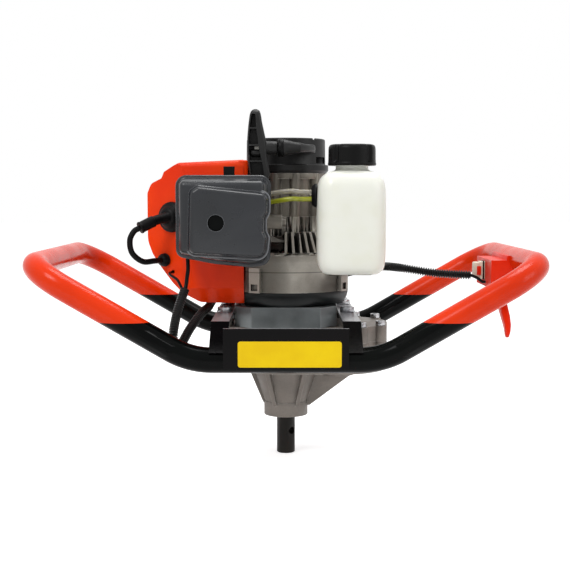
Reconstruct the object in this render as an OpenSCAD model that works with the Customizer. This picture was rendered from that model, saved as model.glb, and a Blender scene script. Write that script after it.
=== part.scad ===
// Power head of an earth auger: two-stroke engine, clutch and reduction gearbox
// hung in a bent tube frame with two hand loops.
// Origin: centre of the output shaft's lower end. +Z up, +X right, -Y front.

/* [View] */
// Piece to show, or all of them

/* [Handle frame] */
// Outside diameter of the frame tube
tube_d = 25; // [20:0.5:30]
// Wall of the frame tube
tube_wall = 2; // [1.5:0.5:3]
// Distance between the front and the rear rail, centre to centre
rail_gap = 290; // [270:2:330]
// Shaft axis to the centre of a loop's cross bar
loop_reach = 249; // [230:1:280]
// Shaft axis to the point where the rail turns up
bend_reach = 93; // [86:1:104]
// Slope of the hand loops
rise_deg = 30; // [24:1:36]
// Centre-line radius of the turn-up
bend_r = 80; // [60:2:100]
// Centre-line radius of the loop corners
corner_r = 42; // [34:1:56]
// Height of the paint line above the rail centre
paint_up = 37; // [26:1:44]

/* [Saddle] */
// Thickness of the saddle sheet
sheet_t = 3; // [2:0.5:4]
// Width of a saddle strap
strap_w = 18; // [17:1:24]
// Top of the straps above the rail centre
saddle_rise = 35; // [32:1:42]
// Length of the flat top of a strap
strap_flat = 244; // [220:2:252]
// Height of the front panel
apron_h = 39; // [34:1:42]
// Width of the plain name plate
plate_w = 99; // [70:1:108]
// Height of the plain name plate
plate_h = 25; // [15:1:28]

/* [Gearbox] */
// Output shaft diameter
shaft_d = 20; // [18:0.5:22]
// Free length of the output shaft below the case
shaft_free = 43; // [36:1:60]
// Cross hole for the drill pin
pin_hole_d = 8; // [6:0.5:9]
// Outside diameter of the case nose
nose_d = 48; // [47:0.5:56]
// Length of the case nose
nose_h = 52; // [48:1:64]
// Gear module
gear_module = 1.5; // [1.45:0.05:1.55]
// Face width of the gears
gear_w = 12; // [10:0.5:13]
// Wall of the gear case
case_wall = 4; // [3:0.5:6]
// Height of the upper gear case
upper_h = 16.5; // [16:0.5:22]

/* [Clutch] */
// Clutch housing, left to right
block_x = 108; // [106:1:112]
// Clutch housing, front to rear
block_y = 120; // [112:1:124]
// Clutch housing height
block_h = 22; // [21:0.5:26]
// Inside diameter of the clutch drum
drum_d = 78; // [70:1:80]
// Clutch housing corner chamfer
block_cut = 18; // [10:1:20]

/* [Fan] */
// Outside diameter of the fan housing
fan_d = 136; // [132:1:140]
// Height of the dark fan bowl
bowl_h = 15.5; // [15:0.5:20]
// Height of the fan housing above the bowl
fan_h = 38.5; // [36:0.5:44]
// Flywheel diameter
flywheel_d = 116; // [100:1:120]

/* [Engine] */
// Cylinder bore
bore_d = 44; // [40:0.5:45]
// Piston stroke
stroke = 34; // [30:0.5:34]
// Connecting rod, centre to centre
rod_len = 58; // [56:0.5:62]
// Crankcase diameter
crankcase_d = 74; // [72:0.5:78]
// Fan housing rim to the cylinder axis
axis_up = 40; // [38:0.5:46]
// Cylinder axis to the top of the crankcase
upper_case_h = 46; // [45:0.5:54]
// Number of cooling fins
fin_count = 8; // [6:1:9]
// Cooling fin size across
fin_w = 86; // [70:1:90]

/* [Shroud] */
// Shaft axis to the far end of the cylinder shroud
shroud_reach = 148; // [142:1:160]
// Half depth of the shroud
shroud_half = 58; // [54:0.5:59]
// Wall of the shroud
shroud_wall = 2.5; // [2:0.25:3]
// Shroud top above the cylinder axis
shroud_up = 60; // [54:1:66]

/* [Intake] */
// Air filter width
filter_w = 93; // [84:1:100]
// Air filter height
filter_h = 87; // [80:1:94]
// Depth of the air filter cover
filter_d = 37; // [30:1:44]
// Carburettor length along the bore
carb_len = 32; // [28:1:38]
// Carburettor bore
throat_d = 18; // [14:1:20]
// Hole in the filter cover
screw_hole_d = 16; // [13:0.5:20]

/* [Starter] */
// Recoil housing diameter
recoil_d = 86; // [82:1:92]
// Recoil housing height
recoil_h = 37; // [35:1:42]
// Rope groove diameter of the pulley
pulley_d = 64; // [56:1:66]
// Starter rope diameter
rope_d = 4; // [3:0.5:4.5]
// Length of the starter grip
grip_len = 78; // [66:1:84]

/* [Fuel] */
// Tank width
tank_w = 69; // [60:1:76]
// Tank depth
tank_depth = 74; // [64:1:84]
// Tank height
tank_h = 102; // [90:1:112]
// Tank wall
tank_wall = 2.5; // [2:0.25:3.5]
// Filler neck outside diameter
neck_d = 34; // [28:1:38]
// Cap diameter
cap_d = 48; // [44:1:54]
// Cap height
cap_h = 21; // [18:1:26]
// Fuel hose outside diameter
hose_d = 5; // [4:0.25:6]

/* [Controls] */
// Length of the throttle control along the bar
control_len = 84; // [76:1:100]
// Throttle trigger length
trigger_len = 86; // [78:1:98]
// Corrugated conduit diameter
conduit_d = 9.5; // [8:0.25:10]
// Number of conduit ribs
conduit_ribs = 150; // [60:3:198]

/* [Hidden] */
$fn = 64;
fit = 0.05;
gap = 0.3;
seam = 0.02;
far = 700;

// Gear train: two equal stages, so that the shafts come back into line
pinion_teeth = 13;
wheel_teeth = 63;
press_deg = 25;
backlash = 0.14;
lay_x = gear_module * (pinion_teeth + wheel_teeth) / 2;
wheel_tip = gear_module * (wheel_teeth / 2 + 1);
pinion_tip = gear_module * (pinion_teeth / 2 + 1);
cavity_r = wheel_tip + 1.25;
case_r = cavity_r + case_wall;

// Heights of the gearbox stack
nose_z = shaft_free;
floor_z = nose_z + nose_h;
floor_t = 5;
low_gear_z = floor_z + floor_t + 2.5;
high_gear_z = low_gear_z + gear_w + 5.5;
split_z = high_gear_z + gear_w - 3.5;
deck_z = split_z + upper_h;
ceiling_z = deck_z - 8;
block_z = deck_z;
bowl_z = block_z + block_h;
fan_z = bowl_z + bowl_h;
rim_z = fan_z + fan_h;
axis_z = rim_z + axis_up;
recoil_z = axis_z + upper_case_h;
recoil_top = recoil_z + recoil_h;

// Bearings: outside radius, width
big_brg = [21, 12];
lay_brg = [14, 8];
pin_brg = [17.5, 10];
crank_brg = [17.5, 10];
shaft_r = shaft_d / 2;
lay_r = 6;
pin_r = 8.5;
seal_w = 6;
nose_collar = 14;
nose_top_r = case_r * 0.66;
rib_t = 5;
wing_x = lay_x + 16;

// Screws
m8 = [4, 7.5, 5.5];
m6 = [3, 5, 5];
hole_gap = 0.2;
ear_h = 12;
ear_r = 8;
ear_x = block_x / 2 + 2 + strap_w / 2;
ear_y = 40;
ear_top = deck_z + ear_h;
case_bolt_r = 6.5;
case_bolt_in = ceiling_z - 12;
left_bolt = [-(case_r + 7), 24];
lobe_bolt_deg = [-66, -38, 38, 66];
clutch_bolt = 36.8;
case_bolt_at = concat(
  [for (s = [-1, 1]) [left_bolt[0], s * left_bolt[1]]],
  [for (a = lobe_bolt_deg) [lay_x + (case_r + 1.5) * cos(a), (case_r + 1.5) * sin(a)]]);

// Handle frame
rail_r = tube_d / 2;
rail_y = rail_gap / 2;
strap_top = ear_top + sheet_t;
rail_z = strap_top - saddle_rise;
paint_z = rail_z + paint_up;
bend_tan = bend_r * tan(rise_deg / 2);
loop_len = (loop_reach - bend_reach) / cos(rise_deg);
bar_z = rail_z + loop_len * sin(rise_deg);

// Saddle
strap_x0 = block_x / 2 + 2;
foot_deg = 35;
foot_y = rail_y + rail_r * cos(foot_deg);
foot_z = rail_z + rail_r * sin(foot_deg);
toe_y = foot_y + sheet_t * cos(foot_deg);
toe_z = foot_z + sheet_t * sin(foot_deg);
leg_deg = atan2(strap_top - toe_z, toe_y - strap_flat / 2);
leg_in = sheet_t * tan(leg_deg / 2);
apron_y = rail_y + rail_r + fit;
apron_top = rail_z + rail_r + 20;
apron_half = strap_x0 + 4;
plate_t = 0.8;

// Clutch and flywheel
drum_r = drum_d / 2;
drum_wall = 3;
block_bore = drum_r + drum_wall + 4;
bowl_bore = drum_r + drum_wall + 2.5;
drum_z = deck_z + 6;
shoe_gap = 0.8;
shoe_r = drum_r - shoe_gap;
shoe_in = 23;
shoe_z = drum_z + 5;
shoe_w = bowl_z - shoe_z + 1;
shoe_pivot_r = 30;
shoe_pivot_deg = 24;
shoe_pin_r = 4;
fan_r = fan_d / 2;
fan_wall = 3.5;
wheel_r = flywheel_d / 2;
wheel_z = bowl_z + 15;
wheel_disc = 6;
blade_z = wheel_z + wheel_disc;
blade_h = fan_h / 2 - 2;
blade_count = 18;
duct_x = 44;

// Crank gear
crank_r = stroke / 2;
web_gap = 10;
rod_w = web_gap - 2 * gap;
web_t = 8;
web_r = 25;
chamber_r = web_r + 3;
chamber_half = web_gap / 2 + web_t + 1;
journal_r = 8.5;
crank_pin_r = 6;
crank_low = drum_z + 9;
case_rad = crankcase_d / 2;
barrel_x = 40;
pin_x = crank_r + rod_len;
crown = 16;
skirt = 14;
head_x = pin_x + crown + 2;
sleeve_r = bore_d / 2 + 5;
fin_t = 2.2;
fin_x0 = barrel_x + 9;
fin_pitch = (head_x + 6 - fin_x0) / (fin_count - 1);
port_y = fin_w / 2 + 3;
port_x = 61;

// Shroud outline seen from the front: [x, z], right end first, counterclockwise
shroud_low = bowl_z + 3;
shroud_top = axis_z + shroud_up;
shroud_end = -shroud_reach;
shroud_pts = [
  [-duct_x, shroud_low],
  [-duct_x, shroud_top],
  [-duct_x - 64, shroud_top - 2],
  [shroud_end + 18, shroud_top - 9],
  [shroud_end, shroud_top - 27],
  [shroud_end, axis_z - 26],
  [shroud_end + 12, axis_z - 50],
  [shroud_end + 36, axis_z - 76],
  [shroud_end + 62, shroud_low]
];
// Spark plug: face point on the shroud, direction out of the head
plug_dir = [-0.5, -0.866];
plug_face = [shroud_end + 30, -shroud_half + 6];
plug_deg = 60;
plug_depth = 40;
lead_d = 6;

// Intake
carb_y0 = shroud_half + 2;
carb_y1 = carb_y0 + carb_len;
carb_half = [24, 19];
base_t = 3;
spigot = 3;
base_y = carb_y1 + spigot;
filter_y0 = base_y + base_t;
filter_y1 = filter_y0 + filter_d;
filter_x = -60;
filter_z = axis_z - 3;
filter_skin = 2.5;
lip_y = 6;
screw_at = [-68, axis_z - 4];
choke_at = [-57, filter_z + filter_h / 2 - 13];
choke_pin_r = 2.5;
arm_at = [-74, -(carb_y0 + 10)];
arm_pin_r = 2.5;
carb_top = axis_z + carb_half[1];
carb_low = axis_z - carb_half[1];
primer_y = -(carb_y0 + 16);
primer_r = 10;
primer_press = 3;

// Starter
recoil_r = recoil_d / 2;
recoil_skin = 2.5;
recoil_lip = 9;
rope_y = shroud_half + 10;
rope_z = recoil_z + 25;
rope_r = rope_d / 2;
nozzle_x = -8;
nozzle_end = 18;
pulley_r = pulley_d / 2;
pulley_w = 10;
grip_x0 = -40;
grip_x1 = -20;
grip_half = 8;
stem_r = 5;

// Fuel
tank_x = 31;
tank_y = -(shroud_half + 6);
tank_z = fan_z + 23.5;
tank_top = tank_z + tank_h;
tank_round = 13;
neck_x = tank_x + tank_w / 2;
neck_y = tank_y - tank_depth / 2;
neck_r = neck_d / 2;
neck_h = 16;
cap_r = cap_d / 2;
cap_wall = 3;
cap_z = tank_top + neck_h - cap_h + 12;
grommet_z = tank_z + tank_h * 0.76;
grommet_y = tank_y - 26;
grommet_r = 9;
hose_r = hose_d / 2;

// Throttle control
ctl_x0 = loop_reach - 32;
ctl_wall = 4;
ctl_bore = rail_r + gap;
ctl_low = bar_z - 30;
ctl_high = bar_z + 17;
ctl_half = control_len / 2;
trig_x = loop_reach - 11;
trig_t = 9;
trig_y = ctl_half - 12;
trig_z = ctl_low + 6;
trig_pin = 3;
trig_hub = 7;
trig_drop = 43;
switch_w = 13;
switch_h = 20;
mouth_z = ctl_low + 11;

// Smaller derived values
pin_hole_z = shaft_free * 0.58;
pin_hole_deg = -47;
plate_x = 3.5;
shaft_cut = 0.5;
core_r = shaft_r + 1;
crank_end_r = 7.5;
lug_deg = [243, 328];
lug_w = 12;
lug_out = 5;
plug_seat = 30;
wrist_r = 5;
boot_r = 16;
lead_end = [shroud_end + 21, -shroud_half + 10.5, axis_z - 45];
kill_end = [shroud_end + 30, -shroud_half + 6.3, axis_z - 57];
kill_r = 1.4;
boot_stem = [[-121, -60, 261], [-134, -68, 258], [-149.6, -75.8, 250.2]];
hose_bore = 1.5;
nipple_r = 1.2;
seal_t = 2;
switch_go = 4.5;

// Routes of hoses, leads and cables: hand-chosen points
conduit_route = [
  [-103, -86, 188], [-109, -100, 168], [-112, -114, 148], [-111, -116, 137],
  [-106, -106, 134], [-98, -84, 148], [-88, -58, 161], [-84, -20, 163],
  [-84, 30, 163], [-80, 68, 167], [-58, 92, 172], [-10, 98, 176],
  [40, 94, 184], [78, 74, 195], [104, 38, 203], [124, 10, 204],
  [ctl_x0 - 57, 0, mouth_z + 3], [ctl_x0 - 36, -6, mouth_z + 1.8], [ctl_x0 - 16, -10, mouth_z + 1]
];
tail_route = [
  [ctl_x0 - 20, -9.4, mouth_z + 1], [ctl_x0 - 15, -10.2, mouth_z + 0.6], [ctl_x0 - 9, -11.6, mouth_z - 2],
  [ctl_x0 - 4.5, -switch_w, mouth_z - 5.5], [ctl_x0 - 0.7, -switch_w, mouth_z - 5.9]
];
lead_route = [
  [-150, -76, 250], [-155, -78, 247], [-159, -80, 238], [-157, -79, 225],
  [-147, -74, 216], [-136, -64, 216], [-129, -51, 216], [-125, -44, 216]
];
fuel_route = [[20.8, -90, 280], [15, -90, 280], [4, -89, 280], [-12, -84, 277.5], [-22, -82, 276],
  [-30, -82, 276]];
return_route = [
  [20.8, -90, 287], [15, -90, 287], [4, -88, 288], [-12, -82, 286], [-23, -80, 283], [-31, -80, 283]
];
throttle_route = [
  [-99, -70, 286], [-101, -71, 270], [-102, -74, 240], [-100, -80, 212],
  [-101, -81.5, 200], [-102, -83.8, 191.2], [-103.7, -87.7, 185.6]
];
kill_route = [
  [-115, -46.5, 204], [-118, -51.7, 204], [-121, -57, 203], [-119, -72, 202],
  [-111, -83, 198], [-106.4, -85, 190]
];

// Tooth outline of a spur gear, a tooth centred on +X
function inv_deg(a) = tan(a) * 180 / PI - a;
function flank_deg(r, rb, half) = half + inv_deg(press_deg) - inv_deg(acos(min(1, rb / max(r, rb))));
function flank_radii(rr, rb, ra) = rr < rb
  ? [rr, rb, rb + 0.4 * (ra - rb), rb + 0.75 * (ra - rb), ra]
  : [rr, (rr + ra) / 2, ra];
function gear_pts(teeth) =
  let (rp = gear_module * teeth / 2)
  let (rb = rp * cos(press_deg))
  let (ra = rp + gear_module)
  let (half = 90 / teeth - backlash / 2 / rp * 180 / PI)
  let (radii = flank_radii(rp - 1.25 * gear_module, rb, ra))
  let (n = len(radii))
  [for (i = [0:teeth - 1], k = [0:2 * n - 1])
    let (r = radii[k < n ? k : 2 * n - 1 - k])
    let (side = k < n ? -1 : 1)
    let (a = 360 * i / teeth + side * flank_deg(r, rb, half))
    r * [cos(a), sin(a)]];

// Inward offset of a convex outline
function unit(v) = v / norm(v);
function turn(v) = [-v[1], v[0]];
function cross2(a, b) = a[0] * b[1] - a[1] * b[0];
function inset_pt(a, b, c, d) =
  let (u = unit(b - a))
  let (w = unit(c - b))
  let (p = b + d * turn(u))
  let (q = b + d * turn(w))
  p + u * cross2(q - p, w) / cross2(u, w);
function inset(pts, d) =
  let (n = len(pts))
  [for (i = [0:n - 1]) inset_pt(pts[(i + n - 1) % n], pts[i], pts[(i + 1) % n], d)];

// Smooth route through hand-chosen points, and even spacing along it
function route_pt(p, i) = p[max(0, min(len(p) - 1, i))];
function blend_pt(a, b, c, d, t) =
  0.5 * (2 * b + (c - a) * t + (2 * a - 5 * b + 4 * c - d) * t * t + (3 * b - a - 3 * c + d) * t * t * t);
function smooth(p, n) = concat(
  [for (i = [0:len(p) - 2], k = [0:n - 1])
    blend_pt(route_pt(p, i - 1), p[i], p[i + 1], route_pt(p, i + 2), k / n)],
  [p[len(p) - 1]]);
function lengths(p) =
  [for (i = 0, s = 0; i < len(p); s = s + (i < len(p) - 1 ? norm(p[i + 1] - p[i]) : 0), i = i + 1) s];
function at_length(p, s, v) =
  [for (k = [0:2]) lookup(v, [for (i = [0:len(p) - 1]) [s[i], p[i][k]]])];
function even(p, n) =
  let (s = lengths(p))
  let (total = s[len(s) - 1])
  [for (i = [0:n]) at_length(p, s, total * i / n)];
function tangent(p, i) = unit(p[min(len(p) - 1, i + 1)] - p[max(0, i - 1)]);
function side_start(t) = unit(cross(t, abs(t[2]) < 0.8 ? [0, 0, 1] : [1, 0, 0]));
function sides(t) =
  [for (i = 0, u = side_start(t[0]); i < len(t);
    i = i + 1, u = i < len(t) ? unit(u - (u * t[i]) * t[i]) : u) u];
function rings(p, radii, n) =
  let (t = [for (i = [0:len(p) - 1]) tangent(p, i)])
  let (u = sides(t))
  [for (i = [0:len(p) - 1], k = [0:n - 1])
    let (a = 360 * k / n)
    p[i] + radii[i] * (cos(a) * u[i] + sin(a) * cross(t[i], u[i]))];
function wall_faces(m, n, at, flip) =
  [for (i = [0:m - 2], k = [0:n - 1], half = [0, 1])
    let (a = at + i * n + k)
    let (b = at + i * n + (k + 1) % n)
    let (f = half == 0 ? [a, a + n, b] : [b, a + n, b + n])
    flip ? [f[2], f[1], f[0]] : f];

// Round hose with a bore, along a route: one outer radius a ring, an inner ring every skip rings
module hose(p, radii, bore_r, n = 8, skip = 1) {
  m = len(p);
  core = [for (i = [0:skip:m - 1]) p[i]];
  c = len(core);
  inner = [for (i = [0:c - 1]) bore_r / cos(180 / n)];
  pts = concat(rings(p, radii, n), rings(core, inner, n));
  q = m * n;
  ends = [for (k = [0:n - 1], e = [0, 1])
    let (a = e * (m - 1) * n)
    let (b = q + e * (c - 1) * n)
    let (j = (k + 1) % n)
    e == 0 ? [a + k, a + j, b + j, b + k] : [a + j, a + k, b + k, b + j]];
  polyhedron(pts, concat(wall_faces(m, n, 0, false), wall_faces(c, n, q, true), ends));
}

module wire(p, r, n = 8) {
  m = len(p);
  radii = [for (i = [0:m - 1]) r];
  caps = [[for (k = [0:n - 1]) k], [for (k = [0:n - 1]) (m - 1) * n + n - 1 - k]];
  polyhedron(rings(p, radii, n), concat(wall_faces(m, n, 0, false), caps));
}

// Cap screw with its seat at z = 0
module cap_screw(m, len) {
  difference() {
    union() {
      translate([0, 0, -len]) cylinder(r = m[0] - fit, h = len + 1);
      cylinder(r = m[1], h = m[2]);
    }
    translate([0, 0, m[2] / 2]) cylinder(r = m[0], h = m[2], $fn = 6);
  }
}

module bearing(b, bore_r) {
  difference() {
    cylinder(r = b[0] - seam, h = b[1]);
    translate([0, 0, -1]) cylinder(r = bore_r + fit, h = b[1] + 2);
    for (z = [-1, b[1] - 1])
      translate([0, 0, z]) difference() {
        cylinder(r = b[0] - 3, h = 2);
        translate([0, 0, -1]) cylinder(r = bore_r + 3, h = 4);
      }
  }
}

module along_x(x, y, z) {
  translate([x, y, z]) rotate([0, 90, 0]) children();
}

module along_y(x, y, z) {
  translate([x, y, z]) rotate([90, 0, 0]) children();
}

module slab(x0, x1, y0, y1, z0, z1) {
  translate([x0, y0, z0]) cube([x1 - x0, y1 - y0, z1 - z0]);
}

module plug_frame() {
  translate([plug_face[0], plug_face[1], axis_z]) rotate([0, 90, 180 + plug_deg]) children();
}

// Frame tube, a quarter of it: rail run and hand loop run
module rail_run(r) {
  straight = bend_reach - bend_tan;
  for (m = [0, 1])
    mirror([m, 0, 0]) translate([straight, -rail_y, rail_z + bend_r]) {
      translate([0, 0, -bend_r]) rotate([0, -90, 0]) cylinder(r = r, h = straight);
      rotate([90, 0, 0]) rotate([0, 0, -90])
        rotate_extrude(angle = rise_deg) translate([bend_r, 0]) circle(r = r);
      rotate([0, -rise_deg, 0]) translate([-1, 0, -bend_r]) rotate([0, 90, 0])
        cylinder(r = r - 0.05, h = loop_len - bend_tan - corner_r + 1);
    }
}

module loop_path(r) {
  bar = rail_y - corner_r;
  translate([loop_len, -bar, 0]) rotate([-90, 0, 0]) cylinder(r = r, h = 2 * bar);
  for (m = [0, 1])
    mirror([0, m, 0]) {
      translate([loop_len - corner_r, -bar, 0]) {
        translate([0, -corner_r, 0]) rotate([0, -90, 0]) cylinder(r = r, h = loop_len - bend_tan - corner_r);
        rotate([0, 0, -90]) rotate_extrude(angle = 90) translate([corner_r, 0]) circle(r = r);
      }
    }
}

module loop_tube() {
  translate([bend_reach, 0, rail_z]) rotate([0, -rise_deg, 0]) difference() {
    loop_path(rail_r);
    loop_path(rail_r - tube_wall);
  }
}

module front_rail() {
  color([0.08, 0.09, 0.09]) difference() {
    rail_run(rail_r);
    rail_run(rail_r - tube_wall);
    slab(-far, far, -far, far, paint_z, far);
  }
}

module rear_rail() {
  color([0.08, 0.09, 0.09]) mirror([0, 1, 0]) front_rail();
}

module right_grip() {
  color([0.87, 0.24, 0.08]) difference() {
    loop_tube();
    slab(-far, far, -far, far, -far, paint_z);
  }
}

module left_grip() {
  color([0.87, 0.24, 0.08]) mirror([1, 0, 0]) right_grip();
}

// Saddle of bent sheet: two straps, a front and a rear panel
module strap_outline() {
  flat = strap_flat / 2;
  polygon([
    [-toe_y, toe_z], [-flat, strap_top], [flat, strap_top], [toe_y, toe_z],
    [foot_y, foot_z], [flat - leg_in, ear_top], [leg_in - flat, ear_top], [-foot_y, foot_z]
  ]);
}

module saddle_end() {
  out_y = -(apron_y + sheet_t);
  slab(-apron_half, apron_half, out_y, -apron_y, apron_top - apron_h, apron_top);
  for (m = [0, 1])
    mirror([m, 0, 0])
      slab(strap_x0, apron_half, out_y, -(apron_y - 14), rail_z + rail_r + gap, apron_top - 4);
}

module saddle() {
  color([0.07, 0.07, 0.08]) difference() {
    union() {
      for (m = [0, 1]) {
        mirror([m, 0, 0]) translate([strap_x0, 0, 0]) rotate([90, 0, 90])
          linear_extrude(strap_w) strap_outline();
        mirror([0, m, 0]) saddle_end();
      }
    }
    for (m = [0, 1]) mirror([0, m, 0]) rail_run(rail_r + fit);
    for (sx = [-1, 1], sy = [-1, 1])
      translate([sx * ear_x, sy * ear_y, ear_top - 1]) cylinder(r = m8[0] + hole_gap, h = sheet_t + 2);
  }
}

module saddle_bolts() {
  color([0.6, 0.6, 0.62])
    for (sx = [-1, 1], sy = [-1, 1])
      translate([sx * ear_x, sy * ear_y, strap_top]) cap_screw(m8, sheet_t + ear_h + 3);
}

module name_plate() {
  y = -(apron_y + sheet_t + seam + plate_t);
  low = apron_top - apron_h + 1.8;
  color([0.92, 0.8, 0.1])
    slab(plate_x - plate_w / 2, plate_x + plate_w / 2, y, y + plate_t, low, low + plate_h);
}

// Gear case
module case_plan(r) {
  flat = r - 0.6;
  circle(r = r);
  translate([lay_x, 0]) circle(r = r);
  translate([0, -flat]) square([lay_x, 2 * flat]);
}

module case_ears() {
  for (p = case_bolt_at) translate(p) circle(r = case_bolt_r);
  for (s = [-1, 1])
    translate([left_bolt[0], s * left_bolt[1] - case_bolt_r])
      square([case_r / 2, 2 * case_bolt_r]);
}

module case_bolt_holes(z0, z1) {
  for (p = case_bolt_at)
    translate([p[0], p[1], z0]) cylinder(r = m6[0] + hole_gap, h = z1 - z0);
}

module nose_rib() {
  rotate([90, 0, 0]) translate([0, 0, -rib_t / 2]) linear_extrude(rib_t) polygon([
    [nose_d / 2 - 4, nose_z + 6], [nose_d / 2 + 1.5, nose_z + nose_collar],
    [nose_top_r + 5, floor_z - 2], [nose_top_r + 5, floor_z + 1], [nose_d / 2 - 4, floor_z + 1]
  ]);
}

module nose_wing() {
  rotate([90, 0, 0]) translate([0, 0, -rib_t]) linear_extrude(2 * rib_t) polygon([
    [nose_d / 2 - 4, nose_z + nose_collar - 4], [nose_d / 2 + 2, nose_z + nose_collar - 4],
    [wing_x, floor_z - 7], [wing_x, floor_z + 1], [nose_d / 2 - 4, floor_z + 1]
  ]);
}

module gearcase_lower() {
  cone_z = nose_z + nose_collar;
  color([0.5, 0.5, 0.5]) difference() {
    union() {
      translate([0, 0, floor_z]) linear_extrude(split_z - floor_z) case_plan(case_r);
      translate([0, 0, case_bolt_in - 4]) linear_extrude(split_z - case_bolt_in + 4) case_ears();
      translate([0, 0, nose_z]) cylinder(r = nose_d / 2, h = nose_collar + 1);
      translate([0, 0, cone_z]) cylinder(r1 = nose_d / 2 - 1, r2 = nose_top_r, h = floor_z - cone_z);
      for (a = [60, 120, 180, 240, 300]) rotate([0, 0, a]) nose_rib();
      nose_wing();
      translate([lay_x, 0, floor_z - 8]) cylinder(r = lay_brg[0] + 4, h = 9);
    }
    translate([0, 0, floor_z + floor_t]) linear_extrude(far) case_plan(cavity_r);
    translate([0, 0, nose_z - 1]) cylinder(r = big_brg[0], h = seal_w + big_brg[1] + 1);
    translate([0, 0, nose_z]) cylinder(r = big_brg[0] - 5, h = floor_z);
    translate([0, 0, floor_z + floor_t - big_brg[1]]) cylinder(r = big_brg[0], h = far);
    translate([lay_x, 0, floor_z + floor_t - lay_brg[1] - 1]) cylinder(r = lay_brg[0], h = far);
    case_bolt_holes(case_bolt_in, split_z + 1);
  }
}

module gearcase_upper() {
  lay_low = high_gear_z + gear_w + 1.5;
  color([0.52, 0.52, 0.52]) difference() {
    union() {
      difference() {
        union() {
          translate([0, 0, split_z]) linear_extrude(upper_h) {
            case_plan(case_r);
            case_ears();
          }
          for (s = [-1, 1])
            slab(-ear_x, ear_x, s * ear_y - ear_r, s * ear_y + ear_r, ceiling_z, deck_z);
        }
        translate([0, 0, split_z - 1]) linear_extrude(ceiling_z - split_z + 1) case_plan(cavity_r);
      }
      for (sx = [-1, 1], sy = [-1, 1])
        translate([sx * ear_x, sy * ear_y, ceiling_z]) cylinder(r = ear_r, h = ear_top - ceiling_z);
      translate([0, 0, deck_z - 1]) cylinder(r = pin_brg[0] + 4.5, h = 5.5);
      translate([lay_x, 0, lay_low]) cylinder(r = lay_brg[0] + 4, h = deck_z - lay_low);
    }
    translate([0, 0, split_z]) cylinder(r = pinion_tip + 1, h = far);
    translate([0, 0, ceiling_z + 2]) cylinder(r = pin_brg[0], h = far);
    translate([lay_x, 0, lay_low - 1]) cylinder(r = lay_brg[0], h = lay_brg[1] + 2);
    for (sx = [-1, 1], sy = [-1, 1]) {
      translate([sx * ear_x, sy * ear_y, deck_z - 5]) cylinder(r = m8[0] + hole_gap, h = far);
      translate([sx * clutch_bolt, sy * clutch_bolt, ceiling_z + 1.5])
        cylinder(r = m6[0] + hole_gap, h = far);
    }
    case_bolt_holes(split_z - 1, deck_z + 1);
  }
}

module case_bolts() {
  color([0.62, 0.62, 0.64]) {
    for (p = case_bolt_at) translate([p[0], p[1], deck_z]) cap_screw(m6, deck_z - case_bolt_in - 1);
    for (sx = [-1, 1], sy = [-1, 1])
      translate([sx * clutch_bolt, sy * clutch_bolt, bowl_z + 4]) cap_screw(m6, block_h + 9);
  }
}

module output_shaft() {
  color([0.12, 0.12, 0.13]) difference() {
    union() {
      translate([0, 0, shaft_cut]) cylinder(r = shaft_r, h = nose_z - shaft_cut + 1);
      translate([0, 0, nose_z]) cylinder(r = core_r, h = high_gear_z - 3 - nose_z);
      cylinder(r1 = shaft_r - shaft_cut, r2 = shaft_r, h = shaft_cut);
      translate([0, 0, nose_z + seal_w + big_brg[1] + gap]) cylinder(r = core_r + 1.5, h = 6);
    }
    rotate([0, 0, pin_hole_deg]) along_x(-far, 0, pin_hole_z) cylinder(r = pin_hole_d / 2, h = 2 * far);
  }
}

module output_gear() {
  color([0.55, 0.55, 0.57]) translate([0, 0, low_gear_z]) difference() {
    linear_extrude(gear_w) difference() {
      polygon(gear_pts(wheel_teeth));
      circle(r = core_r + seam);
    }
    for (z = [-1, gear_w - 3])
      translate([0, 0, z]) difference() {
        cylinder(r = cavity_r - 8, h = 4);
        translate([0, 0, -1]) cylinder(r = core_r + 7, h = 6);
      }
  }
}

module output_seal() {
  color([0.1, 0.1, 0.1]) translate([0, 0, nose_z]) difference() {
    cylinder(r = big_brg[0] - seam, h = seal_w - gap);
    translate([0, 0, -1]) cylinder(r = core_r + fit, h = seal_w + 2);
  }
}

module layshaft() {
  low = floor_z + floor_t - lay_brg[1];
  high = high_gear_z + gear_w + 1.5 + lay_brg[1];
  color([0.55, 0.55, 0.57]) translate([lay_x, 0, 0]) {
    translate([0, 0, low]) cylinder(r = lay_r, h = high - low);
    translate([0, 0, low_gear_z - 1]) linear_extrude(gear_w + 2) polygon(gear_pts(pinion_teeth));
  }
}

module layshaft_gear() {
  color([0.55, 0.55, 0.57]) translate([lay_x, 0, high_gear_z]) difference() {
    linear_extrude(gear_w) difference() {
      polygon(gear_pts(wheel_teeth));
      circle(r = lay_r + seam);
    }
    for (z = [-1, gear_w - 3])
      translate([0, 0, z]) difference() {
        cylinder(r = cavity_r - 8, h = 4);
        translate([0, 0, -1]) cylinder(r = lay_r + 8, h = 6);
      }
  }
}

module gearbox_bearings() {
  color([0.7, 0.7, 0.72]) {
    translate([0, 0, nose_z + seal_w]) bearing(big_brg, core_r);
    translate([0, 0, floor_z + floor_t - big_brg[1] + seam]) bearing(big_brg, core_r);
    translate([lay_x, 0, floor_z + floor_t - lay_brg[1]]) bearing(lay_brg, lay_r);
    translate([lay_x, 0, high_gear_z + gear_w + 1.5]) bearing(lay_brg, lay_r);
    translate([0, 0, ceiling_z + 2 + seam]) bearing(pin_brg, pin_r);
  }
}

module input_pinion() {
  neck_z = high_gear_z + gear_w + gap;
  color([0.55, 0.55, 0.57]) {
    translate([0, 0, high_gear_z - 1]) linear_extrude(gear_w + 2) polygon(gear_pts(pinion_teeth));
    translate([0, 0, neck_z]) cylinder(r = pin_r, h = drum_z + 7 - neck_z);
  }
}

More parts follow.
